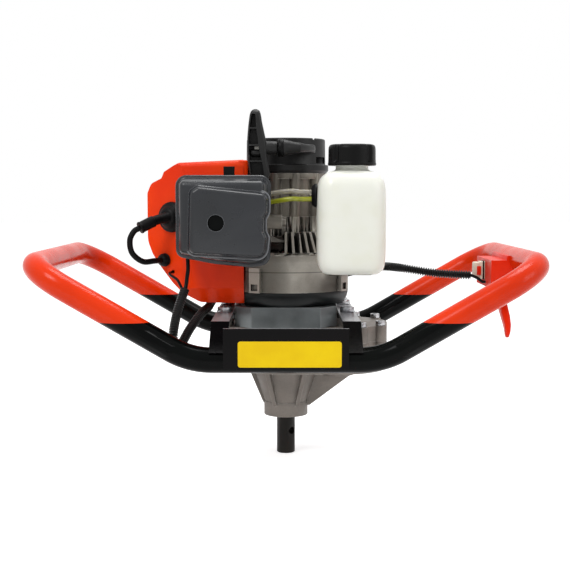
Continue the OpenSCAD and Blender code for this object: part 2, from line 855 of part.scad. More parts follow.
module clutch_drum() {
  color([0.45, 0.45, 0.47]) translate([0, 0, drum_z]) difference() {
    cylinder(r = drum_r + drum_wall, h = bowl_z + 3 - drum_z);
    translate([0, 0, 3]) difference() {
      cylinder(r = drum_r, h = far);
      translate([0, 0, -1]) cylinder(r = pin_r + 4.5, h = 5);
    }
    translate([0, 0, -1]) cylinder(r = pin_r + seam, h = far);
  }
}

module clutch_housing() {
  hx = block_x / 2;
  hy = block_y / 2;
  c = block_cut;
  color([0.42, 0.42, 0.43]) translate([0, 0, block_z]) difference() {
    linear_extrude(block_h) difference() {
      polygon([
        [-hx + c, -hy], [hx - c, -hy], [hx, -hy + c], [hx, hy - c],
        [hx - c, hy], [-hx + c, hy], [-hx, hy - c], [-hx, -hy + c]
      ]);
      circle(r = block_bore);
    }
    for (sx = [-1, 1], sy = [-1, 1])
      translate([sx * clutch_bolt, sy * clutch_bolt, -1])
        cylinder(r = m6[0] + hole_gap, h = block_h + 2);
  }
}

// Fan: dark bowl below, light housing above, both open to the shroud on the left
module fan_lug(z0, z1) {
  for (a = lug_deg)
    rotate([0, 0, a]) slab(fan_r - fan_wall + 0.5, fan_r + lug_out, -lug_w / 2, lug_w / 2, z0, z1);
}

module fan_bowl() {
  turn_r = 10;
  steps = [0:15:90];
  back = [90:-15:0];
  outer = [for (a = steps) [fan_r - turn_r + turn_r * sin(a), bowl_h * (1 - cos(a))]];
  inner = [for (a = back)
    [fan_r - turn_r + (turn_r - fan_wall) * sin(a), 4 + (bowl_h - 4) * (1 - cos(a))]];
  color([0.2, 0.2, 0.21]) difference() {
    translate([0, 0, bowl_z]) rotate_extrude()
      polygon(concat([[bowl_bore, 0]], outer, inner, [[bowl_bore, 4]]));
    slab(-far, -duct_x, -far, far, 0, far);
    for (sx = [-1, 1], sy = [-1, 1])
      translate([sx * clutch_bolt, sy * clutch_bolt, bowl_z - 1])
        cylinder(r = m6[0] + hole_gap, h = 6);
  }
}

module fan_housing() {
  color([0.62, 0.62, 0.62]) difference() {
    union() {
      translate([0, 0, fan_z + seam]) cylinder(r = fan_r, h = fan_h - seam);
      fan_lug(fan_z + seam, fan_z + 26);
    }
    translate([0, 0, fan_z - 1]) cylinder(r = fan_r - fan_wall, h = fan_h + 2);
    slab(-far, -duct_x, -far, far, 0, far);
    for (a = lug_deg)
      rotate([0, 0, a]) slab(fan_r + lug_out - 3, fan_r + 20, -4, 4, fan_z + 2, fan_z + 9);
  }
}

module flywheel() {
  hub_r = 15;
  color([0.5, 0.5, 0.52]) difference() {
    union() {
      translate([0, 0, wheel_z]) cylinder(r = wheel_r, h = wheel_disc);
      translate([0, 0, wheel_z - 8]) cylinder(r = hub_r, h = 8 + wheel_disc + blade_h);
      for (i = [0:blade_count - 1])
        rotate([0, 0, i * 360 / blade_count]) rotate([0, 0, 12])
          slab(wheel_r - 26, wheel_r - 1, -1.2, 1.2, blade_z - 1, blade_z + blade_h);
      for (a = [0, 180])
        rotate([0, 0, a + shoe_pivot_deg]) translate([shoe_pivot_r, 0, 0]) {
          translate([0, 0, shoe_z]) cylinder(r = shoe_pin_r, h = wheel_z - shoe_z + 1);
          translate([0, 0, shoe_z + shoe_w + gap]) cylinder(r = 8, h = wheel_z - shoe_z - shoe_w);
        }
    }
    cylinder(r = crank_end_r + seam, h = far);
  }
}

module clutch_shoe() {
  half = 80;
  span = [for (a = [90 - half:8:90 + half]) [far * cos(a), far * sin(a)]];
  color([0.35, 0.33, 0.3]) translate([0, 0, shoe_z]) difference() {
    cylinder(r = shoe_r, h = shoe_w);
    translate([0, 0, -1]) cylinder(r = shoe_in, h = shoe_w + 2);
    translate([0, 0, -1]) linear_extrude(shoe_w + 2) difference() {
      square(2 * far, center = true);
      polygon(concat([[0, 0]], span));
    }
    rotate([0, 0, shoe_pivot_deg]) translate([shoe_pivot_r, 0, -1])
      cylinder(r = shoe_pin_r + fit, h = shoe_w + 2);
  }
}

module clutch_shoe_a() {
  clutch_shoe();
}

module clutch_shoe_b() {
  rotate([0, 0, 180]) clutch_shoe();
}

// Crankcase in two halves, split on the cylinder axis
module case_columns(z0, z1) {
  for (a = [-107, -76, -38, 38, 76, 107])
    rotate([0, 0, a]) translate([case_rad + 1.4, 0, z0]) cylinder(r = 5.8, h = z1 - z0);
}

module barrel_block(z0, z1) {
  slab(-barrel_x, 0, -32, 32, z0, z1);
}

module crank_space() {
  translate([0, 0, axis_z - chamber_half]) cylinder(r = chamber_r, h = 2 * chamber_half);
  along_x(-far, 0, axis_z) cylinder(r = bore_d / 2 + 2, h = far);
  translate([0, 0, axis_z - chamber_half - crank_brg[1]])
    cylinder(r = crank_brg[0], h = 2 * (chamber_half + crank_brg[1]));
  cylinder(r = journal_r + 1, h = far);
}

module grille_rib() {
  rotate([90, 0, 0]) translate([0, 0, -1.25]) linear_extrude(2.5) polygon([
    [19, rim_z + 1], [fan_r - 2, rim_z + 1], [fan_r - 2, rim_z + 2],
    [fan_r * 0.8, axis_z - 16], [19, axis_z - 16]
  ]);
}

module crankcase_lower() {
  body_z = axis_z - 18;
  color([0.6, 0.6, 0.6]) difference() {
    union() {
      translate([0, 0, rim_z + 3]) cylinder(r1 = 24, r2 = case_rad, h = body_z - rim_z - 3);
      translate([0, 0, body_z]) cylinder(r = case_rad, h = axis_z - body_z - seam);
      case_columns(body_z - 2, axis_z - seam);
      barrel_block(axis_z - 27, axis_z - seam);
      translate([0, 0, rim_z + seam]) difference() {
        cylinder(r = fan_r, h = 3);
        translate([0, 0, -1]) cylinder(r = fan_r - 6, h = 5);
      }
      for (a = [-90:7:126]) rotate([0, 0, a]) grille_rib();
    }
    slab(-far, -duct_x + seam, -far, far, 0, axis_z);
    crank_space();
    translate([0, 0, rim_z - 1]) cylinder(r = 18.5, h = axis_z - chamber_half - crank_brg[1] - rim_z - 2);
  }
}

module crankcase_upper() {
  color([0.6, 0.6, 0.6]) difference() {
    union() {
      translate([0, 0, axis_z - 1]) cylinder(r = case_rad, h = upper_case_h - 4);
      case_columns(axis_z - 2, recoil_z - 0.5);
      barrel_block(axis_z - 3, axis_z + 28);
      translate([0, 0, recoil_z - 6]) cylinder(r = recoil_r, h = 6);
    }
    slab(-far, far, -far, far, 0, axis_z);
    crank_space();
    translate([0, 0, axis_z + chamber_half + crank_brg[1] + 6]) cylinder(r = case_rad - 5.6, h = far);
    slab(-far, -recoil_r + 2, -far, far, axis_z + 31, far);
  }
}

module crankshaft() {
  cup_z = recoil_z - 4;
  color([0.55, 0.55, 0.57]) {
    union() {
      translate([0, 0, crank_low]) cylinder(r = crank_end_r, h = axis_z - chamber_half - crank_low);
      translate([0, 0, rim_z + 1]) cylinder(r = journal_r, h = axis_z - web_gap / 2 - rim_z - 1);
      translate([0, 0, axis_z - web_gap / 2 - web_t]) cylinder(r = web_r, h = web_t);
    }
    union() {
      translate([0, 0, axis_z + web_gap / 2]) cylinder(r = web_r, h = web_t);
      translate([0, 0, axis_z + web_gap / 2]) cylinder(r = journal_r, h = cup_z - axis_z - web_gap / 2);
      translate([0, 0, cup_z - 1]) cylinder(r = 22, h = 5);
      translate([0, 0, cup_z]) cylinder(r = 6, h = 15);
    }
  }
}

module main_bearings() {
  color([0.7, 0.7, 0.72])
    for (z = [axis_z - chamber_half - crank_brg[1], axis_z + chamber_half])
      translate([0, 0, z]) bearing(crank_brg, journal_r);
}

module cylinder_barrel() {
  along_x(-head_x - 14, 0, axis_z) cylinder(r = sleeve_r, h = head_x + 14 - barrel_x - seam);
  for (i = [0:fin_count - 1])
    translate([-(fin_x0 + i * fin_pitch), 0, axis_z])
      cube([fin_t, fin_w, fin_w], center = true);
  slab(-barrel_x - 6, -barrel_x - seam, -32, 32, axis_z - 30, axis_z + 30);
  slab(-port_x - 17, -port_x + 15, -port_y, port_y, axis_z - 15, axis_z + 15);
}

module cylinder_node() {
  color([0.58, 0.58, 0.58]) difference() {
    union() {
      difference() {
        cylinder_barrel();
        plug_frame() translate([0, 0, -plug_seat]) cylinder(r = 13, h = far);
      }
      plug_frame() translate([0, 0, -plug_depth - 4]) cylinder(r = 12, h = plug_depth + 4 - plug_seat);
    }
    along_x(-head_x, 0, axis_z) cylinder(r = bore_d / 2, h = far);
    along_y(-port_x, far, axis_z) cylinder(r = throat_d / 2, h = 2 * far);
    plug_frame() translate([0, 0, -plug_depth - 8]) cylinder(r = 7 + fit, h = far);
  }
}

module piston() {
  r = bore_d / 2 - 0.06;
  color([0.66, 0.66, 0.66]) {
    difference() {
      along_x(-pin_x - crown, 0, axis_z) cylinder(r = r, h = crown + skirt);
      along_x(-pin_x - crown + 5, 0, axis_z) cylinder(r = r - 4, h = far);
      translate([-pin_x, 0, 0]) cylinder(r = wrist_r + fit, h = far);
      for (d = [2, 5])
        along_x(-pin_x - crown + d, 0, axis_z) difference() {
          cylinder(r = r + 1, h = 1.5);
          translate([0, 0, -1]) cylinder(r = r - 1.2, h = 4);
        }
    }
    translate([-pin_x, 0, axis_z - r + 2]) cylinder(r = wrist_r, h = 2 * r - 4);
  }
}

module connecting_rod() {
  low = axis_z - rod_w / 2;
  color([0.5, 0.5, 0.52]) {
    difference() {
      union() {
        translate([-pin_x, 0, low]) cylinder(r = 8, h = rod_w);
        translate([-crank_r, 0, low]) cylinder(r = 10, h = rod_w);
        slab(-pin_x, -crank_r, -4.5, 4.5, low + 1, low + rod_w - 1);
      }
      translate([-pin_x, 0, 0]) cylinder(r = wrist_r + fit, h = far);
      translate([-crank_r, 0, 0]) cylinder(r = crank_pin_r + fit, h = far);
    }
    translate([-crank_r, 0, low]) cylinder(r = crank_pin_r, h = rod_w);
  }
}

module spark_plug() {
  color([0.85, 0.85, 0.82]) plug_frame() {
    translate([0, 0, -plug_depth]) cylinder(r = 7, h = plug_depth - plug_seat + 1);
    translate([0, 0, -plug_seat + seam]) cylinder(r = 10, h = 7, $fn = 6);
    translate([0, 0, -plug_seat]) cylinder(r = 5.5, h = plug_seat - 4);
    translate([0, 0, -6]) cylinder(r = 3, h = 5);
  }
}

module plug_boot() {
  stem = smooth(boot_stem, 4);
  color([0.06, 0.06, 0.06]) {
    plug_frame() difference() {
      union() {
        translate([0, 0, -plug_seat + 9]) cylinder(r = 9, h = plug_seat);
        translate([0, 0, fit]) cylinder(r = boot_r, h = 5);
        translate([0, 0, 4]) cylinder(r1 = 12, r2 = 8, h = 7);
      }
      translate([0, 0, -plug_seat]) cylinder(r = 5.5 + fit, h = plug_seat - 0.5);
    }
    wire(stem, 5.5, 12);
  }
}

module ignition_lead() {
  color([0.05, 0.05, 0.05]) wire(even(smooth(lead_route, 8), 18), lead_d / 2, 10);
}

module ignition_coil() {
  color([0.12, 0.12, 0.13]) difference() {
    slab(-wheel_r - 24, -wheel_r + 6, -21, 21, wheel_z, axis_z - fin_w / 2 - seam);
    translate([0, 0, wheel_z - 1]) cylinder(r = wheel_r + 0.6, h = far);
    slab(-wheel_r - 14, -wheel_r + 20, -9, 9, wheel_z - 1, axis_z - fin_w / 2 - 8);
  }
}

// Cylinder shroud: closed outline, front-left corner cut flat for the spark plug
module shroud_body(d) {
  depth = shroud_half - d;
  difference() {
    along_y(0, depth, 0) linear_extrude(2 * depth) polygon(inset(shroud_pts, d));
    plug_frame() translate([-far / 2, -far / 2, -d]) cube(far);
  }
}

module cylinder_shroud() {
  win_z = [axis_z - 40, axis_z + 40];
  color([0.95, 0.27, 0.08]) difference() {
    shroud_body(0);
    shroud_body(shroud_wall);
    slab(-duct_x - 6, far, -50, 50, shroud_low + 7, shroud_top - 10);
    slab(-port_x - 24, -port_x + 22, -far, 0, axis_z - 22, axis_z + 22);
    slab(-port_x - 44, -port_x + 14, 0, far, win_z[0], win_z[1]);
    plug_frame() translate([0, 0, -10]) cylinder(r = 9.5, h = 30);
    translate(lead_end) rotate([0, 90, 180 + plug_deg]) translate([0, 0, -10])
      cylinder(r = lead_d / 2 + 0.6, h = 30);
    translate(kill_end) rotate([0, 90, 180 + plug_deg]) translate([0, 0, -10])
      cylinder(r = kill_r + 0.6, h = 30);
    for (z = [axis_z - 30, axis_z - 15, axis_z, axis_z + 15])
      slab(shroud_end - 5, shroud_end + 5, -14, 28, z, z + 7);
  }
}

// Intake
module insulator() {
  color([0.12, 0.12, 0.12]) difference() {
    slab(-port_x - 17, -port_x + 15, -carb_y0 + seam, -port_y - seam, axis_z - 15, axis_z + 15);
    along_y(-port_x, 0, axis_z) cylinder(r = throat_d / 2, h = far);
  }
}

module carburettor() {
  c = carb_half;
  color([0.55, 0.54, 0.52]) difference() {
    union() {
      slab(-port_x - c[0], -port_x + c[0], -carb_y1, -carb_y0, carb_low, carb_top);
      along_x(-port_x + c[0] - 1, -(carb_y0 + 20), axis_z - 4) cylinder(r = 7.5, h = 34);
      along_x(-port_x + c[0] + 33, -(carb_y0 + 20), axis_z - 4) cylinder(r = 5, h = 4, $fn = 6);
      translate([arm_at[0], arm_at[1], carb_top - 1]) cylinder(r = arm_pin_r, h = 8);
      along_x(-port_x + c[0] - 1, -(carb_y0 + 22), carb_top - 4) cylinder(r = nipple_r, h = 10);
      along_x(-port_x + c[0] + 2, -(carb_y0 + 20), carb_top + 3) cylinder(r = nipple_r, h = 8);
      slab(-port_x + c[0] - 9, -port_x + c[0] + 3, -(carb_y0 + 24), -(carb_y0 + 16),
        carb_top - 1, carb_top + 6);
    }
    along_y(-port_x, 0, axis_z) cylinder(r = throat_d / 2, h = far);
    translate([-port_x, primer_y, carb_low - 1]) cylinder(r = primer_r + 0.3, h = primer_press + 2);
  }
}

module throttle_arm() {
  color([0.7, 0.68, 0.6]) translate([arm_at[0], arm_at[1], carb_top + gap]) difference() {
    union() {
      cylinder(r = 5, h = 5);
      slab(-18, 0, -3, 3, 1.5, 4);
      translate([-18, 0, 1.5]) cylinder(r = 3.2, h = 2.5);
    }
    translate([0, 0, -1]) cylinder(r = arm_pin_r + fit, h = 8);
    translate([-18, 0, 0]) cylinder(r = 1.2, h = 8);
  }
}

module choke_lever() {
  up = filter_z + filter_h / 2 + 11 - choke_at[1];
  color([0.06, 0.06, 0.06]) along_y(choke_at[0], -base_y + 2.6, choke_at[1]) difference() {
    union() {
      cylinder(r = 5, h = 2.2);
      slab(-3.5, 3.5, 0, up - 9, 0, 2.2);
      slab(-5.5, 5.5, up - 10, up, 0, 2.2);
      slab(-5.5, 5.5, up - 3, up, -5, 1);
    }
    translate([0, 0, -1]) cylinder(r = choke_pin_r + fit, h = 6);
  }
}

module primer_bulb() {
  color([0.75, 0.75, 0.7]) translate([-port_x, primer_y, carb_low]) difference() {
    union() {
      translate([0, 0, -3]) cylinder(r = primer_r, h = 3);
      translate([0, 0, -8]) cylinder(r1 = primer_r - 5, r2 = primer_r, h = 5);
    }
    translate([0, 0, -5]) cylinder(r1 = primer_r - 5, r2 = primer_r - 1.5, h = 6);
  }
}

module filter_plan(d) {
  w = filter_w / 2 - d;
  h = filter_h / 2 - d;
  c = 9;
  polygon([
    [-w + c, -h], [w - c, -h], [w, -h + c], [w, h - c], [w - c, h],
    [-w + c, h], [-w, h - c], [-w, -h + c]
  ]);
}

module filter_solid(d, y0, y1) {
  along_y(filter_x, -y0, filter_z) linear_extrude(y1 - y0) filter_plan(d);
}

module filter_base() {
  color([0.1, 0.1, 0.1]) difference() {
    union() {
      filter_solid(0, base_y, base_y + base_t);
      along_y(-port_x, -carb_y1 - seam, axis_z) cylinder(r = 15, h = spigot + 1);
      along_y(choke_at[0], -base_y + spigot + 2, choke_at[1]) cylinder(r = choke_pin_r, h = spigot + 3);
      along_y(screw_at[0], -base_y, screw_at[1]) cylinder(r = 7, h = base_t + 8);
    }
    along_y(-port_x + 4, 0, axis_z) cylinder(r = throat_d / 2 - 1, h = far);
    along_y(screw_at[0], 0, screw_at[1]) cylinder(r = m6[0] + hole_gap, h = far);
  }
}

module filter_foam() {
  y0 = filter_y0 + seam;
  color([0.25, 0.25, 0.22]) difference() {
    filter_solid(8, y0, y0 + filter_d * 0.45);
    along_y(screw_at[0], 0, screw_at[1]) cylinder(r = 9, h = far);
  }
}

module filter_panel(d, y0, y1) {
  w = filter_w / 2;
  h = filter_h / 2;
  along_y(filter_x, -y0, filter_z) linear_extrude(y1 - y0) polygon([
    [-w + 15 + d, -h + 12 + d], [w - 3 - d, -h + 6 + d], [w - 3 - d, h - 19 - d], [-w + 21 + d, h - 11 - d],
    [-w + 15 + d, h - 17 - d]
  ]);
}

module filter_cover() {
  step_y = filter_y1 - 9;
  color([0.28, 0.29, 0.3]) difference() {
    union() {
      filter_solid(0, filter_y0 + seam, filter_y0 + lip_y);
      filter_solid(4, filter_y0 + 1, step_y);
      filter_panel(0, step_y - 1, filter_y1);
    }
    filter_solid(4 + filter_skin, filter_y0 - 1, step_y - filter_skin);
    filter_panel(filter_skin, step_y - 4, filter_y1 - filter_skin);
    along_y(screw_at[0], 0, screw_at[1]) cylinder(r = screw_hole_d / 2, h = far);
  }
}

module filter_screw() {
  r = screw_hole_d / 2 - 0.6;
  color([0.05, 0.05, 0.05]) {
    along_y(screw_at[0], -(filter_y0 + 8 + seam), screw_at[1]) cylinder(r = r, h = filter_d - 12);
    along_y(screw_at[0], -base_y, screw_at[1]) cylinder(r = m6[0] - fit, h = base_t + 10);
  }
}

module muffler() {
  x0 = -port_x - 42;
  x1 = -port_x + 12;
  y0 = port_y + seam;
  y1 = y0 + 42;
  z0 = axis_z - 36;
  z1 = axis_z + 36;
  w = 1.5;
  color([0.3, 0.29, 0.28]) difference() {
    union() {
      slab(x0, x1, y0, y1, z0, z1);
      slab(x0 - 2, x1 + 2, y0 + 22, y0 + 24, z0 - 2, z1 + 2);
      along_y(x0 + 16, y1 + 12, z0 + 16) cylinder(r = 7, h = 14);
    }
    slab(x0 + w, x1 - w, y0 + w, y1 - w, z0 + w, z1 - w);
    along_y(x0 + 16, far, z0 + 16) cylinder(r = 5.5, h = far - y1 + 5);
    along_y(-port_x, y0 + 5, axis_z) cylinder(r = throat_d / 2, h = 10);
  }
}

// Recoil starter
module recoil_housing() {
  crown_h = 2;
  color([0.22, 0.22, 0.23]) difference() {
    union() {
      translate([0, 0, recoil_z + seam]) cylinder(r = recoil_r + 3, h = recoil_lip);
      translate([0, 0, recoil_z + seam]) cylinder(r = recoil_r, h = recoil_h - crown_h);
      translate([0, 0, recoil_top - crown_h]) cylinder(r1 = recoil_r, r2 = recoil_r - 2, h = crown_h);
      along_x(nozzle_x, -rope_y, rope_z) cylinder(r = 8, h = nozzle_end - nozzle_x);
      slab(nozzle_x + 3, nozzle_end - 2, -rope_y, -recoil_r + 6, rope_z - 7, rope_z + 7);
    }
    difference() {
      translate([0, 0, recoil_z - 1]) cylinder(r = recoil_r - recoil_skin, h = recoil_h + 1 - recoil_skin);
      translate([0, 0, rope_z - pulley_w / 2 - 1]) cylinder(r = 6, h = far);
    }
    along_x(nozzle_x - 1, -rope_y, rope_z) cylinder(r = rope_r + 0.4, h = nozzle_end + 10 - nozzle_x);
    for (a = [20:36:340])
      rotate([0, 0, a]) slab(18, 34, -2.5, 2.5, recoil_top - 5, recoil_top + 5);
    slab(-far, -duct_x + gap, -far, far, recoil_z - 5, recoil_top);
  }
}

module recoil_pulley() {
  w = pulley_w;
  f = pulley_r + 5;
  color([0.15, 0.15, 0.16]) translate([0, 0, rope_z - w / 2]) rotate_extrude() polygon([
    [6 + fit, 0], [f, 0], [f, 1.8], [pulley_r, 2.6], [pulley_r, w - 2.6], [f, w - 1.8], [f, w], [6 + fit, w]
  ]);
}

module starter_rope() {
  color([0.85, 0.85, 0.82]) along_x(grip_x0 + 8, -rope_y, rope_z)
    cylinder(r = rope_r, h = nozzle_end - 4 - grip_x0 - 8);
}

module starter_grip() {
  half = grip_len / 2 - grip_half;
  depth = grip_x1 - grip_x0;
  color([0.25, 0.25, 0.26]) difference() {
    union() {
      slab(grip_x0, grip_x1, -rope_y - grip_half, -rope_y + grip_half, rope_z - half, rope_z + half);
      for (s = [-1, 1])
        along_x(grip_x0, -rope_y, rope_z + s * half) cylinder(r = grip_half + 0.2, h = depth);
      along_x(grip_x1 - 1, -rope_y, rope_z)
        cylinder(r1 = stem_r + 1, r2 = stem_r, h = nozzle_x - gap - grip_x1 + 1);
    }
    difference() {
      slab(grip_x0 + 3, grip_x1 - 8, -far, -rope_y + grip_half - 4, rope_z - half - 3, rope_z + half + 3);
      for (k = [-1, 0, 1])
        slab(grip_x0 + 1, grip_x1, -rope_y - grip_half + 1, far,
          rope_z + k * grip_len / 4 - 1, rope_z + k * grip_len / 4 + 1);
      along_x(grip_x0 - 1, -rope_y, rope_z) cylinder(r = stem_r, h = depth);
    }
    along_x(grip_x0 + 8 - seam, -rope_y, rope_z) cylinder(r = rope_r + seam, h = far);
  }
}

// Fuel
module tank_plan(w, h, r) {
  polygon([
    for (q = [[1, 1, 0], [-1, 1, 90], [-1, -1, 180], [1, -1, 270]], a = [0:18:90])
      [q[0] * (w - r) + r * cos(q[2] + a), q[1] * (h - r) + r * sin(q[2] + a)]
  ]);
}

module tank_body(d) {
  w = tank_w / 2 - d;
  l = tank_depth / 2 - d;
  h = (tank_top - tank_z) / 2 - d;
  r = tank_round - d;
  translate([tank_x + tank_w / 2, tank_y - tank_depth / 2, (tank_z + tank_top) / 2]) intersection() {
    translate([0, 0, -h - 1]) linear_extrude(2 * h + 2) tank_plan(w, l, r);
    rotate([90, 0, 0]) translate([0, 0, -far / 2]) linear_extrude(far) tank_plan(w + 0.4, h, r);
    rotate([90, 0, 90]) translate([0, 0, -far / 2]) linear_extrude(far) tank_plan(l + 0.4, h + 0.2, r);
  }
}

module fuel_tank() {
  color([0.92, 0.92, 0.88]) difference() {
    union() {
      tank_body(0);
      translate([neck_x, neck_y, tank_top - 4]) cylinder(r = neck_r, h = neck_h + 4);
    }
    tank_body(tank_wall);
    translate([neck_x, neck_y, tank_top - 8]) cylinder(r = neck_r - 3, h = far);
    along_x(tank_x - 1, grommet_y, grommet_z) cylinder(r = 6, h = 8);
  }
}

module fuel_cap() {
  inside = tank_top + neck_h + seal_t + seam;
  color([0.07, 0.07, 0.07]) translate([neck_x, neck_y, 0]) difference() {
    translate([0, 0, cap_z]) cylinder(r = cap_r, h = cap_h);
    translate([0, 0, cap_z - 1]) cylinder(r = neck_r + 0.3, h = inside - cap_z + 1);
    for (i = [0:11])
      rotate([0, 0, i * 30]) translate([cap_r + 4, 0, cap_z + 3]) cylinder(r = 6, h = far);
    translate([0, 0, cap_z + cap_h - 2]) cylinder(r = cap_r - 8, h = 4);
  }
}

module cap_seal() {
  color([0.1, 0.1, 0.1]) translate([neck_x, neck_y, tank_top + neck_h + seam]) difference() {
    cylinder(r = neck_r - 0.5, h = seal_t - seam);
    translate([0, 0, -1]) cylinder(r = neck_r - 6, h = seal_t + 2);
  }
}

module fuel_lines() {
  nip_x = tank_x - 10;
  lines = [smooth(fuel_route, 3), smooth(return_route, 3)];
  color([0.75, 0.8, 0.3]) {
    for (p = lines) hose(p, [for (q = p) hose_r], hose_bore);
    difference() {
      union() {
        along_x(nip_x, grommet_y, grommet_z) cylinder(r = grommet_r, h = 10 - seam);
        along_x(nip_x, grommet_y, grommet_z) cylinder(r = 6 - seam, h = 10 + tank_wall + 2);
      }
      for (p = lines)
        along_x(nip_x - 5, p[0][1], p[0][2]) cylinder(r = hose_bore, h = far);
    }
  }
}

module tank_bracket() {
  z = tank_z - seam;
  color([0.12, 0.12, 0.12]) difference() {
    slab(tank_x + 12, tank_x + tank_w - 14, tank_y - 32, -30, z - 2.5, z);
    cylinder(r = fan_r + seam, h = far);
    fan_lug(0, far);
  }
}

// Throttle control clamped on the right loop's bar
module throttle_housing() {
  ring_r = rail_r + 3;
  color([0.85, 0.2, 0.1]) difference() {
    union() {
      along_y(loop_reach, ctl_half, bar_z) cylinder(r = ring_r, h = control_len);
      slab(ctl_x0, trig_x + trig_t / 2 + ctl_wall, -ctl_half, ctl_half, ctl_low, bar_z);
    }
    along_y(loop_reach, far, bar_z) cylinder(r = rail_r + fit, h = 2 * far);
    slab(ctl_x0 - 1, far, -far, far, bar_z + rail_r * 0.4, far);
    slab(trig_x - trig_t / 2 - gap, trig_x + trig_t / 2 + gap, -far, trig_y + 9, 0, bar_z - ring_r + 1);
    along_x(ctl_x0 + 4, trig_y, trig_z) cylinder(r = trig_pin + fit, h = far);
    slab(0, ctl_x0 + 6 + switch_go, -switch_w / 2 - gap, switch_w / 2 + gap,
      bar_z - 3 - switch_h - gap, bar_z - 3 + gap);
  }
}

module throttle_trigger() {
  tip = trigger_len;
  color([0.9, 0.22, 0.08]) translate([trig_x, trig_y, trig_z]) {
    rotate([90 + trig_drop, 0, 0]) rotate([0, 0, 90]) {
      difference() {
        rotate([90, 0, 0]) translate([0, 0, -trig_t / 2]) linear_extrude(trig_t)
          polygon([[-4, -6], [6, -6], [5, tip - 4], [1, tip], [-2, tip - 2], [-7, 20], [-7, -2]]);
        for (s = [-1, 1])
          translate([0, s * (trig_t / 2 + 3.2), tip]) rotate([s * 3, 0, 0])
            cube([40, 6, 60], center = true);
      }
    }
    rotate([0, 90, 0]) translate([0, 0, -trig_t / 2]) cylinder(r = trig_hub, h = trig_t);
    rotate([0, 90, 0]) translate([0, 0, -trig_t / 2 - 3.5]) cylinder(r = trig_pin, h = trig_t + 7);
  }
}

module stop_switch() {
  color([0.85, 0.8, 0.72])
    slab(ctl_x0 - 12, ctl_x0 + 6, -switch_w / 2, switch_w / 2, bar_z - 3 - switch_h, bar_z - 3);
}

module cable_conduit() {
  p = even(smooth(conduit_route, 8), 2 * conduit_ribs);
  r = conduit_d / 2;
  color([0.07, 0.07, 0.07])
    hose(p, [for (i = [0:2 * conduit_ribs]) r - (i % 2) * 0.9], r - 2, 8, 6);
}

module control_cables() {
  color([0.05, 0.05, 0.05]) {
    wire(even(smooth(throttle_route, 6), 14), 2, 8);
    wire(even(smooth(kill_route, 6), 14), kill_r, 8);
    wire(even(smooth(tail_route, 4), 8), 2, 8);
  }
}

front_rail();
rear_rail();
left_grip();
right_grip();
saddle();
saddle_bolts();
name_plate();
gearcase_lower();
gearcase_upper();
case_bolts();
output_shaft();
output_gear();
output_seal();
layshaft();
layshaft_gear();
gearbox_bearings();
input_pinion();
clutch_drum();
clutch_housing();
fan_bowl();
fan_housing();
flywheel();
clutch_shoe_a();
clutch_shoe_b();
crankcase_lower();
crankcase_upper();
crankshaft();
main_bearings();
cylinder_node();  // cylinder
piston();
connecting_rod();
spark_plug();
plug_boot();
ignition_lead();
ignition_coil();
cylinder_shroud();
insulator();
carburettor();
throttle_arm();
choke_lever();
primer_bulb();
filter_base();
filter_foam();
filter_cover();
filter_screw();
muffler();
recoil_housing();
recoil_pulley();
starter_rope();
starter_grip();
fuel_tank();
fuel_cap();
cap_seal();
fuel_lines();
tank_bracket();
throttle_housing();
throttle_trigger();
stop_switch();
cable_conduit();
control_cables();
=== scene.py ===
"""Looks of an earth auger's power head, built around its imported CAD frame.

Shapes are in millimetres in the CAD frame (origin at the output shaft's lower end, +Z up,
-Y to the front) and become metres where a mesh is made. Camera, floor and lamps are in metres.
"""

import math

import bmesh
import bpy
from mathutils import Matrix, Vector


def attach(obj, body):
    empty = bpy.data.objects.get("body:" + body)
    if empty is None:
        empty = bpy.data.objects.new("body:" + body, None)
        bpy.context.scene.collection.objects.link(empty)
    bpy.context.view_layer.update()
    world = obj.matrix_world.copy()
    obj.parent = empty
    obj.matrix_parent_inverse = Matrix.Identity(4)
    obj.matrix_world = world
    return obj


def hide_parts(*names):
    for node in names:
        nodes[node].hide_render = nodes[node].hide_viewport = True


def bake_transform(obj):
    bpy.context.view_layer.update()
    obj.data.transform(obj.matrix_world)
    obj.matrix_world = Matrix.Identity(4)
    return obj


MM = 0.001
FAR = 300.0
FRONT, REAR, RIGHT = (0, -1, 0), (0, 1, 0), (1, 0, 0)

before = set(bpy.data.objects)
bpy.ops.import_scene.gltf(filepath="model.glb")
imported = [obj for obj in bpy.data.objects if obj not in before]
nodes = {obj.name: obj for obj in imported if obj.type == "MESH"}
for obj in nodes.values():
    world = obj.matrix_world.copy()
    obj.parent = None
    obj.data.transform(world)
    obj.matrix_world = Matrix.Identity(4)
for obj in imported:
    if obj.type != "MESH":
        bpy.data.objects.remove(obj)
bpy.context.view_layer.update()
scene = bpy.context.scene
scene.view_settings.view_transform = "Standard"


def link(name, data):
    """A new object in the scene."""
    obj = bpy.data.objects.new(name, data)
    scene.collection.objects.link(obj)
    return obj


# Camera, as fitted to the photograph
CAMERA_AT = (-0.001, -1.166, 0.286)
CAMERA_DOWN = 4.93  # degrees below the horizon


def make_camera():
    data = bpy.data.cameras.new("camera")
    data.sensor_width = 36.0
    data.lens = 67.33
    data.clip_start, data.clip_end = 0.05, 20.0
    scene.camera = link("camera", data)
    scene.camera.location = CAMERA_AT
    scene.camera.rotation_euler = (math.radians(90 - CAMERA_DOWN), 0, 0)


# Colours and node helpers
def rgb(r, g, b):
    """An 8-bit screen colour as linear RGBA."""
    def linear(c):
        c /= 255
        return c / 12.92 if c <= 0.04045 else ((c + 0.055) / 1.055) ** 2.4
    return (linear(r), linear(g), linear(b), 1.0)


def darker(colour, factor):
    return tuple(c * factor for c in colour[:3]) + (1.0,)


MATERIALS = {}
# Sockets of the node that mixes two colours
MIX_A, MIX_B, MIX_OUT = 6, 7, 2
